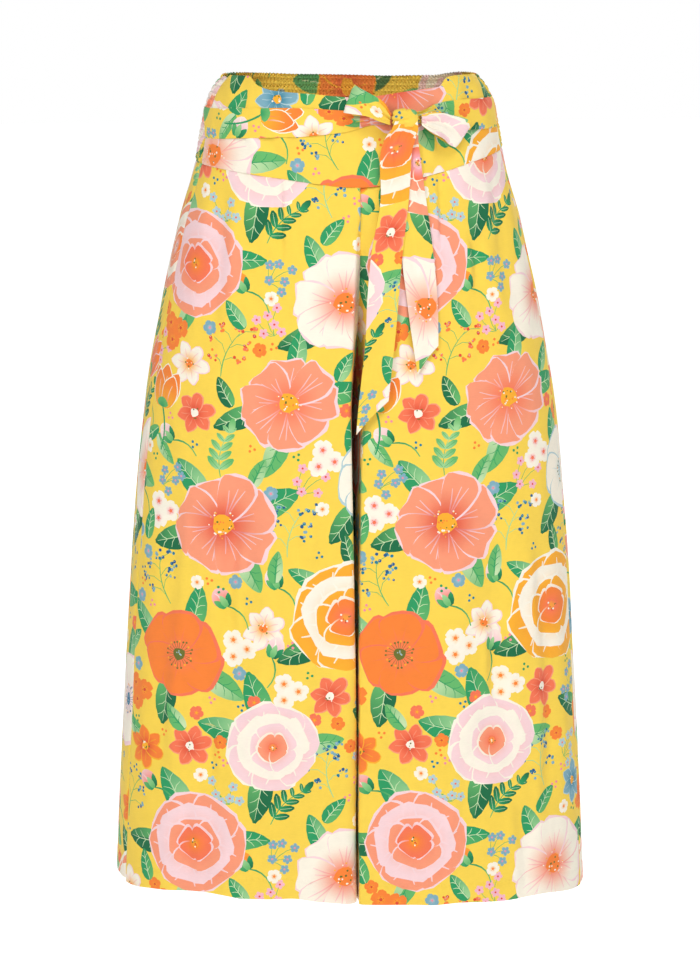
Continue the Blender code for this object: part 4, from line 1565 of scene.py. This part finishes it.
def grid_faces(index):
    """Triangles between the rows and columns of a grid of point numbers."""
    a, b, c, d = index[:-1, :-1], index[:-1, 1:], index[1:, 1:], index[1:, :-1]
    return np.concatenate([np.stack(corners, -1).reshape(-1, 3) for corners in ((a, b, c), (a, c, d))])


def make_band():
    """The shirred back band: rows of elastic stitching with fine gathers between them."""
    cloth = settings()
    row_pitch, pitch = cloth.shirring_rows / MM, cloth.gather_pitch / MM
    lay, heights, seam = waist_lay(BACK)
    top_edge, low_edge = waist_edges(lay, BAND_TOP, BAND_SEAM)
    drift = np.cumsum(np.random.default_rng(23).uniform(-0.45, 0.45, 500)) * 0.5

    def relief(s, t):
        below, above = top_edge(s) - t, t - low_edge(s)
        row = (below - 3.5) / row_pitch
        stitch = np.abs(np.cos(math.pi * row)) ** 9 * (row > -0.3)
        shift = np.interp(s / pitch + 60, np.arange(500) * 0.7, drift)
        lean = 0.35 * np.sin(s / 11 + 2.1 * np.floor(row + 0.5)) * np.sin(math.pi * row) ** 2
        wave = np.sin(2 * math.pi * (s / pitch + shift + lean))
        fine = np.sin(2 * math.pi * (s / pitch * 1.63 + 1.7 * shift + 0.3 * np.floor(row)))
        puffed = (1 - 0.72 * stitch) * (0.88 * wave + 0.3 * fine)
        frill = 1 + 0.7 * ease(1 - below / 3.5)
        aside = np.interp(t, heights, seam) - np.abs(s)
        total = (0.62 * puffed * frill - 0.75 * stitch * (0.7 + 0.3 * wave)) * ease(aside / 5 + 0.6)
        return total * ease(above / 3 + 0.4) + sewn(aside) - 0.7 * bump(above / 1.8)

    lay.relief = relief
    rows, columns, middle = 79, 580, np.interp(-40.0, heights, seam)
    across = np.linspace(-1, 1, columns)
    s = across * (middle + cloth.seam_allowance / MM)
    t = low_edge(s) + (top_edge(s) - low_edge(s)) * np.linspace(0, 1, rows)[:, None]
    s = s + (np.interp(t, heights, seam) - middle) * across
    index = np.arange(rows * columns).reshape(rows, columns)
    points, faces = pairs(s.ravel(), t.ravel()), grid_faces(index)
    loop = edge_loop(faces)
    halves = [half_of(cloth.thickness)] * 2
    made = shell(lay, ((points, faces), (points, faces)), (loop, loop), halves)
    prints = both_prints(points[loop], (300.0, 200.0), 0.9, cloth.gathering)
    colours = [placed.colours(points, cover(points, placed.outlines)) for placed in prints]
    # Painted shade: the right side's print is darkened where the gathers dip.
    colours[0] *= 1 - GATHER_SHADE * np.clip(-relief(*points.T) - 0.1, 0, 1)[:, None]
    item = cloth_object("band_back", *made, np.concatenate(colours)[made[1]])
    size, legs = cut_size(points[loop], cloth.gathering), ["leg_back_right", "leg_back_left"]
    finish_piece(item, "band_back", "printed_cotton", *size, legs, "gathered")


# ---- the tie ----

# Folds of each strip, as lines by distance from the knot and place across: two ends, half width, depth.
SASH_RIGHT_FOLDS = (
    (0, 6, 62, 3, 3.2, 2.2),
    (0, 14, 84, 12, 3.4, 2.6),
    (0, 22, 76, 24, 3.2, 2.2),
    (0, 18, 40, 18, 2.2, -1.0),
    (30, 8, 96, 5, 3.0, 0.9),
    (40, 20, 120, 26, 4.0, 0.8),
)
SASH_LEFT_FOLDS = (
    (0, 7, 40, 4, 3.0, 2.2),
    (0, 15, 58, 15, 3.2, 2.6),
    (0, 23, 44, 26, 3.0, 2.2),
    (10, 10, 78, 9, 3.4, 1.2),
    (46, 22, 96, 14, 4.0, 0.9),
)
LOOP_RIGHT_FOLDS = (
    (0, 7, 30, 4, 2.6, 2.0),
    (0, 14, 36, 12, 2.8, 2.8),
    (0, 22, 30, 25, 2.6, 2.0),
    (6, 19, 44, 19, 2.6, -1.4),
    (22, 8, 50, 5, 3.0, 1.2),
    (60, 12, 90, 15, 4.0, 1.2),
)
LOOP_LEFT_FOLDS = (
    (0, 8, 32, 9, 2.6, 2.4),
    (0, 16, 40, 19, 2.8, 2.6),
    (0, 24, 30, 26, 2.4, 1.8),
    (10, 12, 50, 13, 2.6, -1.4),
    (16, 21, 44, 26, 2.8, 1.6),
    (26, 4, 54, 3, 3.0, 1.4),
    (66, 14, 96, 16, 4.0, 1.2),
)
TAIL_LONG_FOLDS = (
    (0, 7, 56, 5, 2.8, 2.4),
    (0, 15, 80, 16, 3.2, 2.4),
    (0, 23, 60, 25, 2.8, 2.2),
    (24, 20, 110, 23, 3.6, 1.2),
    (60, 10, 190, 12, 4.6, 1.3),
    (150, 24, 262, 19, 4.6, 1.2),
    (200, 6, 312, 9, 4.6, 1.1),
)
TAIL_SHORT_FOLDS = (
    (0, 8, 44, 6, 2.8, 2.2),
    (0, 18, 64, 18, 3.0, 2.2),
    (30, 24, 120, 25, 3.4, 1.2),
    (80, 9, 190, 13, 4.4, 1.2),
    (150, 22, 240, 18, 4.4, 1.0),
)
KNOT_FOLDS = (
    (-13, 3, 12, 7.5, 1.5, 1.3),
    (-13, -2.5, 13, 0.5, 1.5, 1.5),
    (-12, -7, 9, -6, 1.4, 1.2),
    (2, 9.6, 9, -9.6, 1.7, 0.8),
    (-9, 9.6, -5, -9.6, 1.6, -0.5),
)


def fold_lines(folds, u, v):
    """Soft folds along straight lines; a negative depth is a ridge."""
    total = np.zeros(np.shape(u))
    for u0, v0, u1, v1, half, depth in folds:
        run = np.array([u1 - u0, v1 - v0])
        share = ((u - u0) * run[0] + (v - v0) * run[1]) / (run @ run)
        away = ((u - u0) * run[1] - (v - v0) * run[0]) / math.hypot(*run)
        fade = ease((1 - share) / 0.6) * ease((share + 0.25) / 0.25)
        total = total - depth * fade * bump(away / half)
    return total


# Spacing of the tie's mesh, step of its outline, and the smallest area of print on its wrong side.
TIE_SPACING, TIE_STEP, TIE_LEAST_SHOWN = 2.3, 2.5, 5.0
# How far the print on the wrong side of the tie is moved.
BEHIND = (190, 260)

TAIL_RESTS = ("yoke_front", "leg_front_left")
# Each stretch of the tie: its stations, its way from the knot (1 or -1 along s, 0 where it hangs down),
# its folds, the print's place and turn, how much of its end is left off, how slanted its cut end is,
# and the pieces that it lies on.
STRIPS = (
    ("sash_right", SASH_RIGHT, -1, SASH_RIGHT_FOLDS, (30, 420), 78, 3, 0, ("yoke_front",)),
    ("sash_left", SASH_LEFT, 1, SASH_LEFT_FOLDS, (210, 120), 78, 3, 0, ("yoke_front",)),
    ("loop_right", LOOP_RIGHT, -1, LOOP_RIGHT_FOLDS, (330, 70), 78, 0, 0, ("sash_right",)),
    ("loop_left", LOOP_LEFT, 1, LOOP_LEFT_FOLDS, (120, 150), 78, 0, 0, ("sash_left",)),
    ("tail_long", TAIL_LONG, 0, TAIL_LONG_FOLDS, (205, 330), -12, 12, 20, TAIL_RESTS),
    ("tail_short", TAIL_SHORT, 0, TAIL_SHORT_FOLDS, (385, 500), -12, 9, 16, TAIL_RESTS),
)


def make_strip(name, rows, way, folds, origin, turn, left_off, slant, rests_on):
    """One stretch of the tie: a strip sewn to a tube and turned, flat but for its folds."""
    loop, hangs = "loop" in name, way == 0
    if "sash" in name:
        (first, *_), (last, *_) = (np.array(corner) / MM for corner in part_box(name))
        lay = sash_lay(rows, first - 2 * (way > 0), last + 2 * (way < 0))
        length = lay.s[-1]
    else:
        lay, length = ribbon_lay(rows, way, LOOP_TROUGH if loop else 0)
    length -= left_off

    def relief(s, t):
        along, v = (-t, s) if hangs else (length - s if way < 0 else s, t)
        total = fold_lines(folds, along, v) + ripple(along, v, len(name) + len(folds), 0.14, 17)
        if loop:
            total = total + fold_lines(folds[:3], length - along, v)
            total = total * (1 - bump((along - length / 2) / 9))
        return total - 0.4 * (bump(v / 1.5) + bump((TIE_WIDTH - v) / 1.5))

    def half(s, t):
        share = np.clip((s if hangs else t) / TIE_WIDTH, 0, 1)
        return thick * (0.24 + 0.26 * np.sqrt(4 * share * (1 - share)))

    lay.relief, thick = relief, settings().tie_thickness / MM
    corners = [(0, 0), (length, 0), (length, TIE_WIDTH), (0, TIE_WIDTH)]
    if hangs:
        corners = [(0, -length), (TIE_WIDTH, slant - length), (TIE_WIDTH, 0), (0, 0)]
    sides = zip(corners, corners[1:] + corners[:1])
    outline = np.concatenate([stepped(*np.transpose(ends), TIE_STEP) for ends in sides])
    full = PlacedPrint(print_paints(), outline, origin, turn)
    behind = PlacedPrint(print_paints(), outline, np.array(origin) + BEHIND, turn, least=TIE_LEAST_SHOWN)
    item = cut_piece(name, lay, outline, (full, behind), (half, half), TIE_SPACING)
    held = "folded" if loop else "hung"
    finish_piece(item, name, "printed_cotton_tie", *cut_size(outline), list(rests_on), held)


def make_knot():
    """The wrapped knot: one turn of the tie drawn tight, with its folds."""
    centre = on_front(np.array([KNOT_CENTRE_X]), np.array([KNOT_HEIGHT]), KNOT_LIFT)[0]
    rows, columns = 59, 96
    around = ring(columns)
    circle = pairs(np.cos(around), np.sin(around))
    up = np.linspace(-math.pi / 2, math.pi / 2, rows + 2)[1:-1]
    way = [np.column_stack([circle * math.cos(a), np.full(columns, math.sin(a))]) for a in up]
    way = np.concatenate([*way, [(0, 0, -1.0), (0, 0, 1.0)]])
    size = (np.abs(way) ** KNOT_SQUARENESS).sum(axis=1) ** (-1 / KNOT_SQUARENESS)
    shape = way * size[:, None] * KNOT_HALF_SIZE
    outward = np.sign(shape) * np.abs(shape / KNOT_HALF_SIZE) ** (KNOT_SQUARENESS - 1) / KNOT_HALF_SIZE
    x, y, z = shape.T
    relief = fold_lines(KNOT_FOLDS, x, z) + ripple(x, z, 3, 0.2, 7)
    points = centre + shape + unit(outward) * (relief - 0.3)[:, None]
    index = np.arange(rows * columns).reshape(rows, columns)
    index = np.concatenate([index, index[:, :1]], axis=1)
    low, high = np.full(columns, rows * columns), np.full(columns, rows * columns + 1)
    caps = (low, index[0, 1:], index[0, :-1]), (index[-1, :-1], index[-1, 1:], high)
    faces = np.concatenate([grid_faces(index), *(np.stack(corners, 1) for corners in caps)])
    flat_points = pairs(x + np.where(y > 0, 40, 0), z)
    full = PlacedPrint(print_paints(), KNOT_CLOTH, (124.0, 318.0), 35)
    colours = full.colours(flat_points, cover(flat_points, full.outlines))
    a, b, c = (points[corner] for corner in faces.T)
    square, normals = np.cross(b - a, c - a), np.zeros_like(points)
    for corner in faces.T:
        np.add.at(normals, corner, square)
    finish = np.zeros(len(faces), int)
    item = cloth_object("knot", points, faces, unit(normals), flat_points, finish, colours[faces])
    flat, sashes = (TIE_WIDTH * MM, KNOT_TURN * MM), ["sash_right", "sash_left"]
    finish_piece(item, "knot", "printed_cotton_tie", flat, None, sashes, "folded")


# ---- finishes ----

# Thread is the distance between the threads of the weave, in metres.
THREAD = 0.00032
# By slot: each finish's name, the height of its weave, how uneven its ink is, and its sheen.
FINISHES = {
    "printed_cotton": (
        ("Printed cotton, right side", 0.00006, 0.16, 0.12),
        ("Printed cotton, wrong side", 0.00008, 0.12, 0.06),
    ),
    "printed_cotton_tie": (("Printed cotton, tie", 0.00006, 0.16, 0.14),),
}


def feed(tree, inputs, values):
    """Gives a node's inputs numbers or colours, or joins them to another node's output."""
    for key, value in values.items():
        if isinstance(value, bpy.types.NodeSocket):
            tree.links.new(value, inputs[key])
        else:
            inputs[key].default_value = value


def add(tree, kind, values):
    """A new node with its inputs fed."""
    node = tree.nodes.new("ShaderNode" + kind)
    feed(tree, node.inputs, values)
    return node


def maths(tree, operation, *values):
    """The output of a Math node."""
    node = tree.nodes.new("ShaderNodeMath")
    node.operation = operation
    feed(tree, node.inputs, dict(enumerate(values)))
    return node.outputs[0]


def new_group(name, inputs, outputs):
    """An empty shader group with sockets of these names and kinds."""
    tree = bpy.data.node_groups.new(name, "ShaderNodeTree")
    for way, sockets in (("INPUT", inputs), ("OUTPUT", outputs)):
        for label, kind in sockets.items():
            tree.interface.new_socket(label, in_out=way, socket_type="NodeSocket" + kind)
    return tree, tree.nodes.new("NodeGroupInput").outputs, tree.nodes.new("NodeGroupOutput").inputs


def add_group(tree, name, values):
    """A node of a shader group that is already made."""
    node = tree.nodes.new("ShaderNodeGroup")
    node.node_tree = bpy.data.node_groups[name]
    feed(tree, node.inputs, values)
    return node.outputs


def weave_group():
    """Plain weave: threads over and under each other, with slubs, as a height."""
    tree, given, made = new_group(
        "Plain weave", {"Cloth": "Vector", "Thread": "Float"}, {"Height": "Float", "Slub": "Float"}
    )
    parts = add(tree, "SeparateXYZ", {0: given["Cloth"]}).outputs
    turns = maths(tree, "DIVIDE", math.pi, given["Thread"])
    warp, weft = (maths(tree, "SINE", maths(tree, "MULTIPLY", parts[axis], turns)) for axis in "XY")
    crossing = maths(tree, "ABSOLUTE", maths(tree, "MULTIPLY", warp, weft))
    stretch = add(tree, "Mapping", {"Vector": given["Cloth"], "Scale": (140, 1500, 1)}).outputs[0]
    slub = add(tree, "TexNoise", {"Vector": stretch, "Scale": 1.0, "Detail": 2.0}).outputs["Fac"]
    height = maths(tree, "ADD", crossing, maths(tree, "MULTIPLY", slub, 0.9))
    feed(tree, made, {"Height": height, "Slub": slub})


def ink_group():
    """Printed colour with the slight unevenness of ink on cotton."""
    given = {"Colour": "Color", "Cloth": "Vector", "Slub": "Float", "Unevenness": "Float"}
    tree, given, made = new_group("Printed ink", given, {"Colour": "Color", "Roughness": "Float"})
    patches = {"Vector": given["Cloth"], "Scale": 55.0, "Detail": 5.0, "Roughness": 0.62}
    spread = maths(tree, "SUBTRACT", add(tree, "TexNoise", patches).outputs["Fac"], 0.5)
    threads = maths(tree, "MULTIPLY", maths(tree, "SUBTRACT", given["Slub"], 0.5), 0.6)
    change = maths(tree, "MULTIPLY", maths(tree, "ADD", spread, threads), given["Unevenness"])
    tone = add(tree, "HueSaturation", {"Color": given["Colour"], "Value": maths(tree, "ADD", change, 1.0)})
    rough = maths(tree, "ADD", maths(tree, "MULTIPLY", spread, 0.12), 0.84)
    feed(tree, made, {"Colour": tone.outputs[0], "Roughness": rough})


def new_material(name, values):
    """A material with its Principled BSDF fed from what the values give for its tree."""
    material = bpy.data.materials.new(name)
    material.use_nodes = True
    tree = material.node_tree
    feed(tree, tree.nodes["Principled BSDF"].inputs, values(tree))
    return material


def cloth_material(name, depth, unevenness, sheen):
    """Printed cotton: matt, woven, its colours from the print in the mesh."""

    def values(tree):
        colour, cloth = tree.nodes.new("ShaderNodeVertexColor"), tree.nodes.new("ShaderNodeUVMap")
        colour.layer_name, cloth.uv_map = "print", "cloth"
        flat = cloth.outputs["UV"]
        weave = add_group(tree, "Plain weave", {"Cloth": flat, "Thread": THREAD})
        given = {"Colour": colour.outputs["Color"], "Cloth": flat, "Slub": weave["Slub"]}
        ink = add_group(tree, "Printed ink", given | {"Unevenness": unevenness})
        bumps = add(tree, "Bump", {"Strength": 0.35, "Distance": depth, "Height": weave["Height"]})
        return {
            "Base Color": ink["Colour"],
            "Roughness": ink["Roughness"],
            "Normal": bumps.outputs["Normal"],
            "Metallic": 0.0,
            "Sheen Weight": sheen,
            "Sheen Roughness": 0.5,
            "Specular IOR Level": 0.3,
        }

    return new_material(name, values)


# ---- what a user would change ----


def length(label, text, default):
    return bpy.props.FloatProperty(
        name=label, description=text, default=default, min=0.0, unit="LENGTH", precision=5
    )


def ratio(label, text, default, least, most):
    return bpy.props.FloatProperty(name=label, description=text, default=default, min=least, max=most)


class CulottesCloth(bpy.types.PropertyGroup):
    """Sizes of the cloth and its sewing."""

    thickness: length("Cloth thickness", "Thickness of the printed cotton", 0.0008)
    facing_thickness: length("Yoke thickness", "Thickness of the yoke with its facing", 0.0012)
    tie_thickness: length("Tie thickness", "Thickness of the turned tie at its middle", 0.0018)
    seam_allowance: length("Seam allowance", "Width of cloth tucked behind a seam", 0.006)
    hem_depth: length("Hem depth", "Height of the hem's stitching above its edge", 0.019)
    shirring_rows: length("Shirring rows", "Distance between rows of elastic stitching", 0.006)
    gather_pitch: length("Gather pitch", "Distance between the gathers of the back band", 0.0037)
    mesh_spacing: length("Mesh spacing", "Distance between the mesh points of a leg panel", 0.0044)
    gathering: ratio("Gathering", "Cloth gathered into the back band per length", 1.45, 1.0, 2.5)
    show_through: ratio("Show through", "How much print shows on the wrong side", 0.45, 0.0, 1.0)


def colour_property(name, value):
    label = name.replace("_", " ").capitalize()
    text = f"Printed colour: {label.lower()}"
    return bpy.props.FloatVectorProperty(
        name=label, description=text, subtype="COLOR_GAMMA", default=value, min=0, max=1
    )


class CulottesColours(bpy.types.PropertyGroup):
    """Colours of the printed pattern."""

    __annotations__ = {name: colour_property(name, value) for name, value in PAINT.items()}


class CULOTTES_OT_yoke(bpy.types.Operator):
    """Make the shaped front yoke"""

    bl_idname = "culottes.yoke"
    bl_label = "Front yoke"

    def execute(self, context):
        make_yoke()
        return {"FINISHED"}


class CULOTTES_OT_band(bpy.types.Operator):
    """Make the shirred back band"""

    bl_idname = "culottes.band"
    bl_label = "Back band"

    def execute(self, context):
        make_band()
        return {"FINISHED"}


class CULOTTES_OT_legs(bpy.types.Operator):
    """Make the four leg panels"""

    bl_idname = "culottes.legs"
    bl_label = "Leg panels"

    def execute(self, context):
        make_leg("leg_front_right", WEARER_RIGHT, FRONT, (228.0, 246.0), 1)
        make_leg("leg_front_left", WEARER_LEFT, FRONT, (9.0, 246.0), 2)
        make_leg("leg_back_right", WEARER_RIGHT, BACK, (40.0, 130.0), 3)
        make_leg("leg_back_left", WEARER_LEFT, BACK, (259.0, 130.0), 4)
        return {"FINISHED"}


class CULOTTES_OT_tie(bpy.types.Operator):
    """Make the tie: its two sash ends, knot, loops and tails"""

    bl_idname = "culottes.tie"
    bl_label = "Tie"

    def execute(self, context):
        for strip in STRIPS:
            make_strip(*strip)
        make_knot()
        return {"FINISHED"}


class CULOTTES_OT_stage(bpy.types.Operator):
    """Make the floor, the lights and the camera"""

    bl_idname = "culottes.stage"
    bl_label = "Stage"

    def execute(self, context):
        make_stage(context.scene)
        return {"FINISHED"}


class CULOTTES_PT_panel(bpy.types.Panel):
    """The culottes' pieces, sizes and colours"""

    bl_label = "Culottes"
    bl_idname = "CULOTTES_PT_panel"
    bl_space_type = "VIEW_3D"
    bl_region_type = "UI"
    bl_category = "Culottes"

    def draw(self, context):
        layout = self.layout
        for maker in MAKERS:
            layout.operator(maker.bl_idname)
        for group in (context.scene.culottes_cloth, context.scene.culottes_colours):
            box = layout.box()
            for name in group.__annotations__:
                box.prop(group, name)


# ---- the stage, in metres ----

CAMERA_DISTANCE = 3.4
CAMERA_TURN = math.radians(-5.5)
CAMERA_HEIGHT = 0.20
AIM_HEIGHT = -0.41
SENSOR_HEIGHT = 36.0
FOCAL_PIXELS, FRAME_PIXELS = 3454.3, 980
FLOOR_HEIGHT, FLOOR_REACH = -1.05, 14.0
# How light the floor is, and how much it glows, for all and on top of that for the camera.
FLOOR_GREY, FLOOR_GLOW, FLOOR_SEEN_GLOW = 0.32, 0.82, 0.18
# Strength of the world's light, and how bright the camera sees it.
WORLD_LIGHT, WORLD_SEEN = 0.22, 1.0
# Each light's name, place, the height it aims at, its size and its power.
LIGHTS = (
    ("key light", (-2.4, -3.4, 1.6), -0.4, 1.2, 58),
    ("fill light", (2.8, -3.2, 0.6), -0.4, 2.2, 25),
    ("top light", (0.3, -1.7, 2.3), -0.1, 1.2, 32),
    ("back light", (1.2, 3.4, 1.4), -0.4, 2.0, 70),
)


def plain_material(name, grey, glow, seen_glow):
    """A matt surface that glows a little, and somewhat more where the camera looks at it."""

    def values(tree):
        place = tree.nodes.new("ShaderNodeTexCoord").outputs["Object"]
        mottle = add(tree, "TexNoise", {"Vector": place, "Scale": 3.0}).outputs["Fac"]
        tone = tree.nodes.new("ShaderNodeMix")
        tone.data_type = "RGBA"
        feed(tree, tone.inputs, {"Factor": mottle, "A": (*[grey] * 3, 1), "B": (*[grey * 1.02] * 3, 1)})
        ray = tree.nodes.new("ShaderNodeLightPath").outputs["Is Camera Ray"]
        return {
            "Base Color": tone.outputs["Result"],
            "Roughness": 0.9,
            "Specular IOR Level": 0.2,
            "Emission Color": (1, 1, 1, 1),
            "Emission Strength": maths(tree, "ADD", maths(tree, "MULTIPLY", ray, seen_glow), glow),
        }

    return new_material(name, values)


def make_floor():
    """A wide pale floor."""
    mesh = bpy.data.meshes.new("floor")
    square = FLOOR_REACH * np.array([(-1, -1), (1, -1), (1, 1), (-1, 1)])
    mesh.from_pydata([(x, y, FLOOR_HEIGHT) for x, y in square], [], [(0, 1, 2, 3)])
    mesh.materials.append(plain_material("Pale paper", FLOOR_GREY, FLOOR_GLOW, FLOOR_SEEN_GLOW))
    put(bpy.data.objects.new("floor", mesh))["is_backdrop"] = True


def put(item, place=(0, 0, 0), aim=None):
    """Puts an object in the scene, at a place, looking at an aim."""
    bpy.context.scene.collection.objects.link(item)
    item.location = place
    if aim:
        item.rotation_euler = (Vector(aim) - Vector(place)).to_track_quat("-Z", "Y").to_euler()
    return item


def light_world(world):
    """White light from all round; the camera sees it brighter."""
    world.use_nodes = True
    tree = world.node_tree
    light, white = tree.nodes["Background"], (1.0, 1.0, 1.0, 1)
    feed(tree, light.inputs, {"Color": white, "Strength": WORLD_LIGHT})
    seen = add(tree, "Background", {"Color": white, "Strength": WORLD_SEEN})
    ray = tree.nodes.new("ShaderNodeLightPath").outputs["Is Camera Ray"]
    mix = add(tree, "MixShader", {"Fac": ray, 1: light.outputs[0], 2: seen.outputs[0]})
    feed(tree, tree.nodes["World Output"].inputs, {"Surface": mix.outputs[0]})


def make_stage(scene):
    make_floor()
    for name, place, aim_height, size, power in LIGHTS:
        light = bpy.data.lights.new(name, "AREA")
        light.shape, light.size, light.size_y, light.energy = "RECTANGLE", size, size, power
        put(bpy.data.objects.new(name, light), place, (0, 0, aim_height))
    scene.world = scene.world or bpy.data.worlds.new("studio")
    light_world(scene.world)
    x, y = CAMERA_DISTANCE * math.sin(CAMERA_TURN), -CAMERA_DISTANCE * math.cos(CAMERA_TURN)
    lens = bpy.data.cameras.new("camera")
    scene.camera = put(bpy.data.objects.new("camera", lens), (x, y, CAMERA_HEIGHT), (0, 0, AIM_HEIGHT))
    lens.sensor_fit, lens.sensor_height = "VERTICAL", SENSOR_HEIGHT
    lens.lens = FOCAL_PIXELS / FRAME_PIXELS * SENSOR_HEIGHT
    lens.dof.use_dof = False
    scene.view_settings.view_transform = "Standard"
    scene.view_settings.look = "None"


MAKERS = (CULOTTES_OT_stage, CULOTTES_OT_yoke, CULOTTES_OT_band, CULOTTES_OT_legs, CULOTTES_OT_tie)
CLASSES = (CulottesCloth, CulottesColours, *MAKERS, CULOTTES_PT_panel)


def register():
    for item in CLASSES:
        bpy.utils.register_class(item)
    bpy.types.Scene.culottes_cloth = bpy.props.PointerProperty(type=CulottesCloth)
    bpy.types.Scene.culottes_colours = bpy.props.PointerProperty(type=CulottesColours)


def unregister():
    del bpy.types.Scene.culottes_colours
    del bpy.types.Scene.culottes_cloth
    for item in reversed(CLASSES):
        bpy.utils.unregister_class(item)


def main():
    register()
    weave_group()
    ink_group()
    for maker in MAKERS:
        area, name = maker.bl_idname.split(".")
        getattr(getattr(bpy.ops, area), name)()
    sizes = {"cad": cad_box, "visual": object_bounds()}
    plain = {key: [[float(value) for value in corner] for corner in box] for key, box in sizes.items()}


if __name__ == "__main__":
    main()
